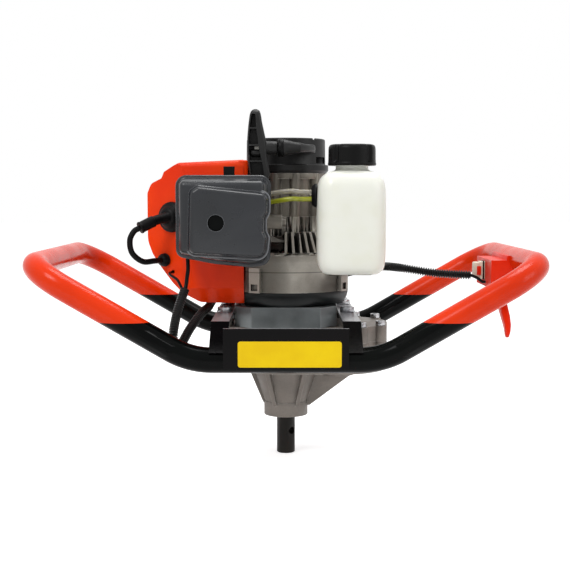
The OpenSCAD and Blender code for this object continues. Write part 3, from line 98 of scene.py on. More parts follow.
# An edge that takes the edge colour: cosine between the surface's normal and the bevelled one
EDGE_FULL, EDGE_NONE = 0.86, 0.985


class Shader:
    """A principled material with a few short ways to add procedural detail."""

    def __init__(self, name):
        self.mat = MATERIALS[name] = bpy.data.materials.new(name)
        self.mat.use_nodes = True
        self.tree = self.mat.node_tree
        self.bsdf = self.tree.nodes["Principled BSDF"]
        self.place = self.node("ShaderNodeTexCoord").outputs["Object"]

    def node(self, kind, **settings):
        made = self.tree.nodes.new(kind)
        for key, value in settings.items():
            setattr(made, key, value)
        return made

    def wire(self, source, target):
        self.tree.links.new(source, target)

    def put(self, **values):
        """Plain values of the principled node; None leaves one as it is."""
        for key, value in values.items():
            if value is not None:
                self.bsdf.inputs[key.replace("_", " ")].default_value = value

    def surface(self, colour, rough, normal):
        for name, source in (("Base Color", colour), ("Roughness", rough), ("Normal", normal)):
            self.wire(source, self.bsdf.inputs[name])

    def normal(self):
        return self.node("ShaderNodeNewGeometry").outputs["Normal"]

    def height_of(self, vector):
        """The Z part of a place or a direction."""
        made = self.node("ShaderNodeSeparateXYZ")
        self.wire(vector, made.inputs[0])
        return made.outputs[2]

    def stretched(self, scale):
        made = self.node("ShaderNodeMapping")
        made.inputs["Scale"].default_value = scale
        self.wire(self.place, made.inputs["Vector"])
        return made.outputs["Vector"]

    def noise(self, scale, detail, rough=0.55, stretch=None):
        made = self.node("ShaderNodeTexNoise")
        made.inputs["Scale"].default_value = scale
        made.inputs["Detail"].default_value = detail
        made.inputs["Roughness"].default_value = rough
        self.wire(self.stretched(stretch) if stretch else self.place, made.inputs["Vector"])
        return made.outputs[0]

    def spread(self, value, low, high, to_low=0.0, to_high=1.0):
        """Takes low...high softly onto to_low...to_high."""
        made = self.node("ShaderNodeMapRange")
        made.interpolation_type = "SMOOTHSTEP"
        for i, number in enumerate((low, high, to_low, to_high), 1):
            made.inputs[i].default_value = number
        self.wire(value, made.inputs[0])
        return made.outputs[0]

    def math(self, kind, a, b):
        made = self.node("ShaderNodeMath", operation=kind)
        for i, value in enumerate((a, b)):
            if isinstance(value, (int, float)):
                made.inputs[i].default_value = value
            else:
                self.wire(value, made.inputs[i])
        return made.outputs[0]

    def mix(self, factor, a, b):
        made = self.node("ShaderNodeMix", data_type="RGBA")
        self.wire(factor, made.inputs[0])
        for i, value in ((MIX_A, a), (MIX_B, b)):
            if isinstance(value, tuple):
                made.inputs[i].default_value = value
            else:
                self.wire(value, made.inputs[i])
        return made.outputs[MIX_OUT]

    def edges(self, radius):
        """A mask that is 1 on rounded or sharp outer edges."""
        bevel = self.node("ShaderNodeBevel", samples=4)
        bevel.inputs["Radius"].default_value = radius * MM
        dot = self.node("ShaderNodeVectorMath", operation="DOT_PRODUCT")
        self.wire(bevel.outputs[0], dot.inputs[0])
        self.wire(self.normal(), dot.inputs[1])
        return self.spread(dot.outputs["Value"], EDGE_NONE, EDGE_FULL)

    def bump(self, height, strength, distance, under=None):
        made = self.node("ShaderNodeBump")
        made.inputs["Strength"].default_value = strength
        made.inputs["Distance"].default_value = distance * MM
        self.wire(height, made.inputs["Height"])
        if under is not None:
            self.wire(under, made.inputs["Normal"])
        return made.outputs[0]


def finish(name, colour, other, rough, grain, patch=14.0, metal=0.0, edge_wear_and_sheen=None,
           coat=(None, None), swirl=None, specular=None, top=None):
    """A moulded or painted surface: patches of a second colour, uneven gloss, grain, a colour on
    the edges (worn edges, and on grey_plastic a painted edge highlight) and a painted sky
    reflection on faces that look up.

    grain is scale, strength and depth; the edge colour is colour, edge radius and amount; top is
    the colour of faces that look up, a painted reflection of the bright sky above them.
    """
    s = Shader(name)
    tone = s.spread(s.noise(patch, 5.0), 0.36, 0.68)
    tint = s.mix(tone, colour, other)
    gloss = s.spread(s.noise(patch * 3.1, 6.0, 0.62, swirl), 0.3, 0.75, *rough)
    # Edge colour: worn edges on most materials, a painted edge highlight on grey_plastic.
    if edge_wear_and_sheen:
        edge_colour, radius, amount = edge_wear_and_sheen
        edge_patches = s.spread(s.noise(240.0, 4.0, 0.7), 0.62 - amount, 0.82 - amount)
        tint = s.mix(s.math("MULTIPLY", s.edges(radius), edge_patches), tint, edge_colour)
    # Painted reflection: faces that look up take the top colour, as if they mirrored the bright
    # sky.
    if top:
        sky_sheen = s.spread(s.height_of(s.normal()), 0.8, 0.98, 0.0, 0.9)
        tint = s.mix(sky_sheen, tint, top)
    scale, strength, depth = grain
    fine = s.bump(s.noise(scale, 5.0, 0.6, swirl), strength, depth)
    soft = s.bump(s.noise(scale * 0.11, 2.0, 0.5), strength * 0.5, depth * 2.2, fine)
    s.surface(tint, gloss, soft)
    s.put(Metallic=metal, Coat_Weight=coat[0], Coat_Roughness=coat[1],
          Specular_IOR_Level=specular)


# How far the painted shade in hollows reaches, in millimetres
HOLLOW_REACH = 7
CAST_EDGE = 0.9


def cast_metal(name, colour, other, rough, edge_wear_and_sheen, metal, specular=None, seam=None,
               hollow_shade=(0.25, 0.85, 0.62, 0.35)):
    """Bead-blasted casting: fine pits, painted shade in its hollows, brighter edges, a parting line
    at a height.

    Its last argument gives the painted shade: the range of hollowness, how much of the shade it
    takes, and how dark that shade is.
    """
    s = Shader(name)
    patches = s.spread(s.noise(22.0, 6.0, 0.6), 0.34, 0.7)
    speck = s.spread(s.noise(900.0, 3.0, 0.7), 0.42, 0.72)
    tint = s.mix(patches, colour, other)
    tint = s.mix(s.math("MULTIPLY", speck, 0.28), tint, darker(colour, 0.55))
    # Painted shade: ambient occlusion darkens the colour in hollows and recesses.
    hollow = s.node("ShaderNodeAmbientOcclusion", samples=4, only_local=True)
    hollow.inputs["Distance"].default_value = HOLLOW_REACH * MM
    low, high, amount, shade = hollow_shade
    tint = s.mix(s.spread(hollow.outputs["AO"], low, high, amount, 0.0), tint,
                 darker(colour, shade))
    edge_patches = s.spread(s.noise(150.0, 3.0, 0.6), 0.3, 0.62)
    edge = s.math("MULTIPLY", s.edges(CAST_EDGE), edge_patches)
    tint = s.mix(s.math("MULTIPLY", edge, 0.7), tint, edge_wear_and_sheen)
    if seam:
        off = s.math("ABSOLUTE", s.math("SUBTRACT", s.height_of(s.place), seam * MM), 0.0)
        line = s.spread(off, 0.7 * MM, 0.25 * MM, 0.0, 0.8)
        tint = s.mix(line, tint, darker(colour, 0.2))
    gloss = s.spread(s.noise(60.0, 5.0, 0.6), 0.3, 0.72, *rough)
    pits = s.bump(s.noise(1500.0, 4.0, 0.65), 0.4, 0.12)
    s.surface(tint, gloss, s.bump(s.noise(95.0, 3.0, 0.5), 0.25, 0.35, pits))
    s.put(Metallic=metal, Specular_IOR_Level=specular)


def tank_plastic(name):
    """Milky blow-moulded plastic: light passes a little way in, with faint warm clouds."""
    s = Shader(name)
    cloud = s.spread(s.noise(26.0, 3.0, 0.5), 0.42, 0.75)
    tint = s.mix(cloud, rgb(227, 228, 219), rgb(221, 222, 207))
    gloss = s.spread(s.noise(70.0, 4.0, 0.6), 0.3, 0.7, 0.3, 0.46)
    wave = s.bump(s.noise(32.0, 2.0, 0.4), 0.12, 1.2)
    s.surface(tint, gloss, s.bump(s.noise(900.0, 3.0, 0.6), 0.08, 0.06, wave))
    s.put(Subsurface_Weight=0.35, Subsurface_Radius=(1.0, 1.0, 0.86), Subsurface_Scale=0.012)


def clear_hose(name, colour, other, clear):
    """Flexible clear hose, tinted by the fuel in it."""
    s = Shader(name)
    tint = s.mix(s.spread(s.noise(160.0, 3.0), 0.4, 0.66), colour, other)
    gloss = s.spread(s.noise(420.0, 3.0), 0.3, 0.7, 0.12, 0.26)
    s.surface(tint, gloss, s.bump(s.noise(300.0, 2.0), 0.08, 0.08))
    s.put(Transmission_Weight=clear, IOR=1.45, Subsurface_Weight=0.2,
          Subsurface_Radius=(1.0, 1.0, 0.5), Subsurface_Scale=0.002)


def make_materials():
    finish("black_paint", rgb(3, 4, 4), rgb(8, 10, 9), (0.14, 0.24), (420.0, 0.06, 0.1),
           edge_wear_and_sheen=(rgb(46, 48, 48), 0.6, 0.02), specular=0.06)
    finish("orange_paint", rgb(218, 52, 6), rgb(202, 44, 4), (0.18, 0.3), (380.0, 0.07, 0.1),
           edge_wear_and_sheen=(rgb(246, 112, 62), 0.6, 0.03), specular=0.16)
    # saddle_black: the pale top colour is a painted reflection of the sky on the tops of the
    # straps.
    finish("saddle_black", rgb(4, 3, 4), rgb(9, 7, 8), (0.12, 0.22), (300.0, 0.1, 0.12),
           edge_wear_and_sheen=(rgb(80, 80, 82), 0.7, 0.05), specular=0.08, top=rgb(160, 160, 163))
    finish("yellow_plate", rgb(234, 200, 4), rgb(226, 188, 5), (0.3, 0.44), (260.0, 0.08, 0.1),
           patch=26.0, specular=0.16)
    cast_metal("cast_grey", rgb(124, 117, 110), rgb(108, 102, 96), (0.42, 0.6),
               rgb(186, 183, 178), 0.35)
    cast_metal("cast_light", rgb(120, 114, 104), rgb(100, 95, 87), (0.36, 0.55),
               rgb(214, 210, 202), 0.4)
    # fan_cast: a strong painted shade turns its deep recesses, such as the lug pockets, near black.
    cast_metal("fan_cast", rgb(164, 158, 148), rgb(144, 139, 131), (0.36, 0.55),
               rgb(214, 210, 202), 0.4, seam=203.8, hollow_shade=(0.55, 0.86, 0.97, 0.06))
    cast_metal("block_grey", rgb(118, 123, 124), rgb(100, 105, 106), (0.3, 0.46),
               rgb(196, 200, 200), 0.45)
    cast_metal("dark_cast", rgb(24, 28, 28), rgb(17, 20, 20), (0.3, 0.48),
               rgb(84, 90, 90), 0.05, specular=0.2)
    finish("screw_steel", rgb(176, 176, 178), rgb(140, 141, 145), (0.22, 0.4),
           (1300.0, 0.15, 0.05), metal=1.0, edge_wear_and_sheen=(rgb(214, 212, 206), 0.4, 0.1))
    finish("black_steel", rgb(20, 18, 16), rgb(33, 30, 26), (0.34, 0.5), (900.0, 0.2, 0.06),
           metal=0.3, edge_wear_and_sheen=(rgb(110, 106, 102), 0.5, 0.12), specular=0.2)
    finish("gear_steel", rgb(150, 150, 154), rgb(118, 119, 124), (0.2, 0.36),
           (1600.0, 0.16, 0.04), metal=1.0)
    finish("lining", rgb(66, 52, 40), rgb(46, 38, 32), (0.7, 0.9), (700.0, 0.4, 0.15))
    finish("plug_ceramic", rgb(230, 228, 220), rgb(214, 212, 204), (0.14, 0.24),
           (400.0, 0.05, 0.05), coat=(0.4, 0.05))
    finish("rubber_black", rgb(6, 5, 6), rgb(13, 12, 13), (0.36, 0.52), (800.0, 0.18, 0.1),
           edge_wear_and_sheen=(rgb(50, 48, 50), 0.7, 0.05), specular=0.1)
    finish("primer_rubber", rgb(190, 60, 40), rgb(170, 46, 32), (0.3, 0.42), (500.0, 0.08, 0.08))
    finish("orange_plastic", rgb(246, 64, 7), rgb(228, 49, 5), (0.26, 0.4), (1000.0, 0.12, 0.06),
           patch=9.0, edge_wear_and_sheen=(rgb(255, 128, 74), 0.8, 0.06), specular=0.16)
    finish("red_plastic", rgb(228, 44, 8), rgb(210, 32, 6), (0.3, 0.44), (900.0, 0.14, 0.06),
           edge_wear_and_sheen=(rgb(248, 116, 76), 0.6, 0.05), specular=0.18)
    # grey_plastic: the pale edge colour is a painted highlight along the filter cover's lips and
    # edges.
    finish("grey_plastic", rgb(35, 37, 41), rgb(29, 31, 34), (0.24, 0.36), (1100.0, 0.16, 0.06),
           edge_wear_and_sheen=(rgb(118, 120, 124), 0.9, 0.46), specular=0.36)
    finish("dark_plastic", rgb(30, 30, 30), rgb(24, 24, 24), (0.36, 0.5), (1200.0, 0.22, 0.07),
           edge_wear_and_sheen=(rgb(120, 120, 118), 0.7, 0.1), specular=0.2)
    finish("black_plastic", rgb(6, 6, 6), rgb(12, 12, 12), (0.32, 0.46), (1100.0, 0.2, 0.07),
           edge_wear_and_sheen=(rgb(58, 58, 58), 0.5, 0.06), specular=0.1)
    finish("foam", rgb(70, 68, 60), rgb(50, 48, 42), (0.85, 0.95), (420.0, 0.9, 0.8))
    finish("muffler_black", rgb(44, 42, 40), rgb(62, 54, 47), (0.5, 0.7), (520.0, 0.3, 0.12),
           metal=0.3, edge_wear_and_sheen=(rgb(120, 108, 96), 0.7, 0.1), specular=0.3)
    finish("conduit", rgb(5, 5, 6), rgb(10, 10, 10), (0.26, 0.38), (700.0, 0.1, 0.06),
           specular=0.2)
    finish("switch_plastic", rgb(226, 214, 196), rgb(212, 198, 178), (0.34, 0.46),
           (900.0, 0.12, 0.06), edge_wear_and_sheen=(rgb(244, 240, 230), 0.5, 0.04))
    finish("rope", rgb(216, 214, 206), rgb(188, 186, 178), (0.7, 0.85), (900.0, 0.5, 0.3),
           swirl=(1.0, 3.0, 3.0))
    tank_plastic("tank_plastic")
    clear_hose("fuel_hose", rgb(186, 190, 44), rgb(164, 170, 30), 0.35)
    clear_hose("return_hose", rgb(206, 200, 186), rgb(190, 184, 168), 0.6)


# Outlines and lines
def round_rect(w, h, r, n):
    """Rounded rectangle round the origin, given by its half sizes."""
    points = []
    for sx, sy, start in ((1, 1, 0), (-1, 1, 90), (-1, -1, 180), (1, -1, 270)):
        for k in range(n + 1):
            a = math.radians(start + 90 * k / n)
            points.append((sx * (w - r) + r * math.cos(a), sy * (h - r) + r * math.sin(a)))
    return points


def circle(r, n, turn=0.0):
    angles = [turn + 2 * math.pi * k / n for k in range(n)]
    return [(r * math.cos(a), r * math.sin(a)) for a in angles]


def shrunk(points, d):
    """A counterclockwise outline moved inwards by d."""
    out, m = [], len(points)
    for i in range(m):
        a, p, b = (Vector(points[j % m]) for j in (i - 1, i, i + 1))
        u, v = (p - a).normalized(), (b - p).normalized()
        first, second = Vector((-u.y, u.x)), Vector((-v.y, v.x))
        out.append(p + (first + second) * (d / (1 + first.dot(second))))
    return out


def filleted(points, radii, n=6):
    """A closed outline with each corner turned into an arc."""
    out, m = [], len(points)
    for i in range(m):
        a, p, b = (Vector(points[j % m]) for j in (i - 1, i, i + 1))
        u, v = (a - p).normalized(), (b - p).normalized()
        half = u.angle(v) / 2
        reach = min((a - p).length, (b - p).length) * 0.48
        cut = min(max(radii[i], 0.05) / math.tan(half), reach)
        start, end, weight = p + u * cut, p + v * cut, math.sin(half)
        for k in range(n + 1):
            t = k / n
            w = ((1 - t) ** 2, 2 * weight * t * (1 - t), t * t)
            out.append((start * w[0] + p * w[1] + end * w[2]) / sum(w))
    return out


def smooth_route(points, per):
    """Catmull-Rom curve through a route, as the CAD draws it."""
    pts = [Vector(p) for p in points]
    out = []
    for i in range(len(pts) - 1):
        a, b, c, d = pts[max(0, i - 1)], pts[i], pts[i + 1], pts[min(len(pts) - 1, i + 2)]
        for k in range(per):
            t = k / per
            out.append(0.5 * (2 * b + (c - a) * t + (2 * a - 5 * b + 4 * c - d) * t * t
                              + (3 * b - a - 3 * c + d) * t ** 3))
    return out + [pts[-1]]


def even(points, count):
    """The same line in equal steps."""
    lengths = [0.0]
    for a, b in zip(points, points[1:]):
        lengths.append(lengths[-1] + (b - a).length)
    out, j = [], 0
    for i in range(count + 1):
        s = lengths[-1] * i / count
        while j < len(points) - 2 and lengths[j + 1] < s:
            j += 1
        span = max(lengths[j + 1] - lengths[j], 1e-9)
        out.append(points[j].lerp(points[j + 1], min(1.0, (s - lengths[j]) / span)))
    return out


def between(z, table):
    """A value read off a table of (height, value), lowest height first."""
    for (z0, a), (z1, b) in zip(table, table[1:]):
        if z <= z1:
            return a + (b - a) * max(0.0, (z - z0) / (z1 - z0))
    return table[-1][1]


# Shapes: a list of points and a list of faces
def joined(*shapes):
    verts, faces = [], []
    for points, polygons in shapes:
        base = len(verts)
        verts += points
        faces += [tuple(i + base for i in face) for face in polygons]
    return verts, faces


def loft(rings, loop=False):
    """Quads through closed rings with the same number of points, with end caps or in a loop."""
    n, m = len(rings[0]), len(rings)
    verts = [tuple(p) for ring in rings for p in ring]
    faces = []
    for i in range(m if loop else m - 1):
        a, b = i * n, (i + 1) % m * n
        faces += [(a + k, a + (k + 1) % n, b + (k + 1) % n, b + k) for k in range(n)]
    if not loop:
        faces.append(tuple(range(n - 1, -1, -1)))
        faces.append(tuple((m - 1) * n + k for k in range(n)))
    return verts, faces


def tube(path, radii, sides):
    """A round tube along points, with a radius at each."""
    rings = []
    side = None
    for i, p in enumerate(path):
        ahead = (path[min(i + 1, len(path) - 1)] - path[max(i - 1, 0)]).normalized()
        if side is None:
            side = ahead.orthogonal()
        side = (side - ahead * side.dot(ahead)).normalized()
        up = ahead.cross(side)
        rings.append([p + (side * x + up * y) * radii[i] for x, y in circle(1.0, sides)])
    return loft(rings)


def lathe(profile, n, wave=None, loop=False):
    """Rings round +Z from (radius, height) pairs; wave(angle, radius, height) may change a radius.

    A looped profile ends where it starts, so the shape is open along its axis.
    """
    rings = []
    for r, z in profile:
        ring = []
        for k in range(n):
            a = 2 * math.pi * k / n
            q = wave(a, r, z) if wave else r
            ring.append((q * math.cos(a), q * math.sin(a), z))
        rings.append(ring)
    return loft(rings, loop)


def placed(shape, matrix):
    return [tuple(matrix @ Vector(v)) for v in shape[0]], shape[1]


def axis_matrix(origin, direction):
    """Takes +Z onto a direction at a point."""
    turn = Vector(direction).to_track_quat("Z", "Y").to_matrix().to_4x4()
    return Matrix.Translation(Vector(origin)) @ turn


def turned(shape, degrees):
    """A shape turned round +Z."""
    return placed(shape, Matrix.Rotation(math.radians(degrees), 4, "Z"))


def box(x0, x1, y0, y1, z0, z1, r=0.0, axis="Z"):
    """A block; r rounds its edges along one axis and softens the other ones."""
    spans = {"X": ((y0, y1), (z0, z1), (x0, x1)), "Y": ((x0, x1), (z0, z1), (y0, y1)),
             "Z": ((x0, x1), (y0, y1), (z0, z1))}[axis]
    (a0, a1), (b0, b1), (c0, c1) = spans
    w, h, length = (a1 - a0) / 2, (b1 - b0) / 2, c1 - c0
    r = min(r, w * 0.98, h * 0.98)
    e = min(r, length * 0.3)
    steps = [(0.0, 0.0), (0.0, length)]
    if r:
        steps = [(e, 0.0), (e * 0.3, e * 0.3), (0.0, e), (0.0, length - e),
                 (e * 0.3, length - e * 0.3), (e, length)]
    rings = []
    for inset, at in steps:
        ring = []
        for a, b in round_rect(w - inset, h - inset, max(r - inset, 0.02), 5 if r else 1):
            a, b, c = a + (a0 + a1) / 2, b + (b0 + b1) / 2, c0 + at
            ring.append({"X": (c, a, b), "Y": (a, c, b), "Z": (a, b, c)}[axis])
        rings.append(ring)
    return loft(rings)


def half_space(point, out):
    """A big block that starts at a point and lies in a direction."""
    return placed(box(-FAR, FAR, -FAR, FAR, 0, FAR), axis_matrix(point, out))


def rod(point, out, r, before, after, n=40):
    """A round bar along a direction, from before a point to after it."""
    return placed(lathe([(r, -before), (r, after)], n), axis_matrix(point, out))


# Pieces
def make_mesh(name, shape, scale=1.0, weld=0.0):
    mesh = bpy.data.meshes.new(name)
    mesh.from_pydata([tuple(c * scale for c in v) for v in shape[0]], [], shape[1])
    work = bmesh.new()
    work.from_mesh(mesh)
    if weld:
        bmesh.ops.remove_doubles(work, verts=work.verts, dist=weld)
    bmesh.ops.recalc_face_normals(work, faces=work.faces)
    work.to_mesh(mesh)
    work.free()
    return mesh


def carved(shape, *cutters, plus=()):
    """A closed shape with other closed shapes added to it, then others cut out of it."""
    base = link("scratch", make_mesh("scratch", shape))
    scrap = [base]
    for operation, others in (("UNION", plus), ("DIFFERENCE", cutters)):
        for other in others:
            cut = base.modifiers.new("cut", "BOOLEAN")
            cut.operation = operation
            cut.solver = "EXACT"
            cut.object = link("scratch", make_mesh("scratch", other))
            scrap.append(cut.object)
    bpy.context.view_layer.update()
    done = base.evaluated_get(bpy.context.evaluated_depsgraph_get())
    mesh = bpy.data.meshes.new_from_object(done)
    out = [tuple(v.co) for v in mesh.vertices], [tuple(f.vertices) for f in mesh.polygons]
    for obj in scrap:
        bpy.data.objects.remove(obj)
    return out


def piece(name, shape, material, body, swaps=(), sharp=32.0):
    """A mesh piece that rides on a CAD body and takes the place of CAD nodes."""
    mesh = make_mesh(name, shape, MM, 1e-6)
    mesh.shade_smooth()
    mesh.set_sharp_from_angle(angle=math.radians(sharp))
    mesh.materials.append(MATERIALS[material])
    obj = link(name, mesh)
    if body:
        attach(obj, body)
    if swaps:
        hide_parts(*swaps)
    return obj


def rounded(obj, width, angle):
    """Rounds the edges that are sharper than an angle."""
    made = obj.modifiers.new("edges", "BEVEL")
    made.width = width * MM
    made.segments = 2
    made.limit_method = "ANGLE"
    made.angle_limit = math.radians(angle)
    made.harden_normals = True
    made.miter_outer = "MITER_ARC"


# CAD nodes that show as they are: material, nodes, edge rounding
NODE_WELD = 2e-6
NODE_LOOKS = {
    # filter_screw takes black_paint as painted shade, so the hole in the filter cover reads dark.
    "black_paint": (("front_rail", "rear_rail", "filter_screw"), 0.0),
    "orange_paint": (("left_grip", "right_grip"), 0.0),
    "saddle_black": (("saddle",), 0.9),
    "screw_steel": (("saddle_bolts", "case_bolts", "throttle_arm"), 0.35),
    "cast_grey": (("gearcase_lower", "gearcase_upper"), 1.0),
    "cast_light": (("crankcase_upper", "cylinder", "carburettor"), 0.7),
    # crankcase_lower takes the lighter fan_cast rather than cast_light like its upper half: a
    # painted highlight on its grille slats.
    "fan_cast": (("fan_housing", "crankcase_lower"), 0.7),
    "block_grey": (("clutch_housing",), 1.0),
    "dark_cast": (("fan_bowl",), 1.0),
    "black_steel": (("output_shaft", "tank_bracket"), 0.4),
    "gear_steel": (("output_gear", "layshaft", "layshaft_gear", "gearbox_bearings",
                    "input_pinion", "clutch_drum", "flywheel", "crankshaft", "main_bearings",
                    "piston", "connecting_rod"), 0.0),
    "lining": (("clutch_shoe_a", "clutch_shoe_b"), 0.3),
    "plug_ceramic": (("spark_plug",), 0.2),
    "rubber_black": (("output_seal", "cap_seal"), 0.2),
    "primer_rubber": (("primer_bulb",), 0.4),
    "black_plastic": (("ignition_coil", "insulator", "choke_lever", "recoil_pulley"), 0.5),
    "foam": (("filter_foam",), 0.5),
    "muffler_black": (("muffler",), 1.2),
    "red_plastic": (("throttle_housing",), 0.9),
}


def dress_nodes():
    for look, (names, width) in NODE_LOOKS.items():
        for name in names:
            obj = nodes[name]
            for slot in obj.material_slots:
                slot.material = MATERIALS[look]
            weld = obj.modifiers.new("weld", "WELD")
            weld.merge_threshold = NODE_WELD
            if width:
                rounded(obj, width, 35.0)


# Air filter: cover with lip, drafted side, raised panel with a slanted top and a notch; its back.
# Outlines are (X, Z) from the front; steps are (inset, distance to the front).
COVER_PTS = [(-110.0, 222.8), (-72.0, 215.4), (-34.0, 211.8), (-15.6, 215.2), (-15.2, 240.0),
             (-18.8, 247.0), (-18.8, 263.0), (-15.2, 271.0), (-14.6, 303.8), (-110.0, 303.8)]
COVER_R = [9, 60, 40, 12, 8, 5, 5, 8, 11, 11]
COVER_STEPS = [(0.0, 98.1), (0.0, 102.4), (0.3, 103.2), (1.0, 103.8), (2.6, 104.0), (3.2, 104.4),
               (3.6, 105.4), (5.4, 119.0), (6.0, 122.4), (7.2, 124.6), (9.0, 125.8),
               (11.5, 126.2)]
PANEL_PTS = [(-95.4, 227.0), (-20.6, 222.6), (-18.2, 243.0), (-21.2, 248.6), (-21.2, 261.6),
             (-17.8, 267.0), (-17.6, 285.4), (-86.0, 292.6), (-93.4, 287.6)]
PANEL_R = [7, 9, 8, 5, 5, 8, 7, 5, 6]
PANEL_STEPS = [(-2.6, 126.0), (-1.2, 126.4), (-0.4, 127.3), (0.0, 128.4), (1.0, 132.4),
               (1.6, 133.8), (2.8, 134.7), (4.4, 135.0)]
BACK_STEPS = [(0.4, 95.0), (0.0, 95.4), (0.0, 97.6), (0.4, 98.0), (2.4, 98.0), (2.4, 103.0)]
BACK_INSET = 0.8
COVER_WALL = 2.0
HOLE_X, HOLE_Z = -68.0, 257.0
HOLE_R = 8.0


def cover_solid(points, radii, steps, d=0.0):
    """A closed stack of rounded outlines; d moves every face inwards."""
    rings = []
    for inset, y in steps:
        corners = [max(r - inset - d, 0.6) for r in radii]
        outline = filleted(shrunk(points, inset + d), corners)
        rings.append([(p.x, -y + d, p.y) for p in outline])
    return loft(rings)


def make_filter():
    cover, panel = (COVER_PTS, COVER_R, COVER_STEPS), (PANEL_PTS, PANEL_R, PANEL_STEPS)
    solid = carved(cover_solid(*cover), plus=(cover_solid(*panel),))
    hole = rod((HOLE_X, -140.0, HOLE_Z), REAR, HOLE_R, 0, 30, 56)
    shell = carved(solid, cover_solid(*cover, COVER_WALL), cover_solid(*panel, COVER_WALL), hole)
    obj = piece("filter_shell", shell, "grey_plastic", "frame", ("filter_cover",), 30.0)
    rounded(obj, 0.5, 50.0)

    plate = cover_solid(shrunk(COVER_PTS, BACK_INSET), COVER_R, BACK_STEPS)
    spigot = rod((-61.0, -95.5, 261.0), REAR, 15.0, 0, 3.4)
    choke_pin = rod((-57.0, -95.5, 288.5), REAR, 2.5, 0, 5.4, 24)
    screw_boss = rod((HOLE_X, -97.0, HOLE_Z), FRONT, 7.0, 0, 9.0)
    throat = rod((-57.0, -90.0, 261.0), FRONT, 9.0, 10, 30)
    screw_hole = rod((HOLE_X, -90.0, HOLE_Z), FRONT, 3.2, 10, 40, 24)
    back = carved(plate, throat, screw_hole, plus=(spigot, choke_pin, screw_boss))
    piece("filter_back", back, "black_plastic", "frame", ("filter_base",), 30.0)


# Cylinder shroud: outline (X, Z) from the front, rounded front and rear edges, flat for the plug
SHROUD_PTS = [(-44.0, 170.0), (-44.0, 320.6), (-112.0, 317.4), (-127.6, 308.0), (-130.4, 301.4),
              (-142.0, 296.0), (-146.4, 286.0), (-146.4, 236.0), (-141.0, 222.0),
              (-132.0, 209.0), (-120.0, 194.0), (-110.0, 183.0), (-90.0, 171.2)]
SHROUD_R = [1, 1, 10, 3, 3, 8, 8, 26, 20, 20, 20, 16, 14]
SHROUD_EDGE = [(6.0, 0.0), (4.0, 0.35), (2.2, 1.2), (0.8, 3.0), (0.0, 6.0)]
SHROUD_HALF = 58.0
SHROUD_WALL = 2.5
OPEN_SIDE = -60.0  # what lies right of this is the open side, which stays straight
PLUG_FACE = Vector((-118.0, -52.0, 261.0))
PLUG_OUT = Vector((-0.5, -0.866, 0.0))
LOWER_EDGE = Vector((0.0, -SHROUD_HALF, 187.0))
LOWER_OUT = Vector((0.0, -0.8, -0.6))
LEAD_HOLE = Vector((-127.0, -47.5, 216.0))
KILL_HOLE = Vector((-118.0, -51.7, 204.0))


def shroud_solid(d):
    """The shroud's outside, or with d its inside."""
    half = SHROUD_HALF - d
    points = shrunk(SHROUD_PTS, d)
    sections = [(inset, -half + y) for inset, y in SHROUD_EDGE]
    sections += [(inset, half - y) for inset, y in SHROUD_EDGE[::-1]]
    rings = []
    for inset, y in sections:
        corners = [max(r - inset - d, 0.8) for r in SHROUD_R]
        outline = filleted(shrunk(points, inset), corners, 5)
        rings.append([(p.x if p.x < OPEN_SIDE else p.x + inset, y, p.y) for p in outline])
    solid = loft(rings)
    return carved(solid, half_space(PLUG_FACE - PLUG_OUT * d, PLUG_OUT),
                  half_space(LOWER_EDGE - LOWER_OUT * d, LOWER_OUT))


def make_shroud():
    engine_side = box(-50.0, 20.0, -50.0, 50.0, 177.0, 311.0)
    intake_window = box(-85.0, -39.0, -90.0, 0.0, 239.0, 283.0)
    muffler_window = box(-105.0, -47.0, 0.0, 90.0, 221.0, 301.0)
    louvres = [box(-156.0, -140.0, -14.0, 28.0, z, z + 7.0) for z in (231.0, 246.0, 261.0, 276.0)]
    lip = box(-50.0, -39.4, -57.4, -50.6, 297.0, 320.0, 2.2, "Y")
    shape = carved(shroud_solid(0.0), shroud_solid(SHROUD_WALL), engine_side, intake_window,
                   muffler_window, rod(PLUG_FACE, PLUG_OUT, 9.5, 14, 20),
                   rod(LEAD_HOLE, PLUG_OUT, 3.6, 10, 20, 24),
                   rod(KILL_HOLE, PLUG_OUT, 2.0, 10, 20, 20), *louvres, plus=(lip,))
    obj = piece("shroud", shape, "orange_plastic", "frame", ("cylinder_shroud",), 24.0)
    rounded(obj, 0.8, 40.0)


# Fuel tank: steps are (inset, height); its neck: (radius, height)
TANK_X, TANK_Y = 65.5, -101.0
TANK_SHIFT = 1.2  # the body lies this much left of the neck
TANK_HALF_X, TANK_HALF_Y = 33.0, 37.0
TANK_CORNER = 15.0
TANK_STEPS = [(26.0, 207.0), (16.0, 206.6), (11.4, 206.1), (7.6, 206.6), (4.7, 208.0),
              (2.5, 210.4), (0.9, 214.2), (0.1, 219.6), (-0.3, 230.0), (-0.4, 255.0),
              (-0.2, 280.0), (0.1, 289.0), (0.9, 294.6), (2.6, 299.2), (5.2, 302.8),
              (8.6, 305.4), (12.0, 306.9)]
NECK_STEPS = [(20.0, 307.6), (18.0, 308.1), (16.6, 309.0), (16.1, 310.4), (16.1, 312.4),
              (16.9, 313.0), (16.9, 314.2), (16.6, 315.2), (16.6, 323.4), (16.2, 323.9),
              (14.6, 323.9), (14.2, 323.4), (14.2, 311.0), (6.0, 310.0)]


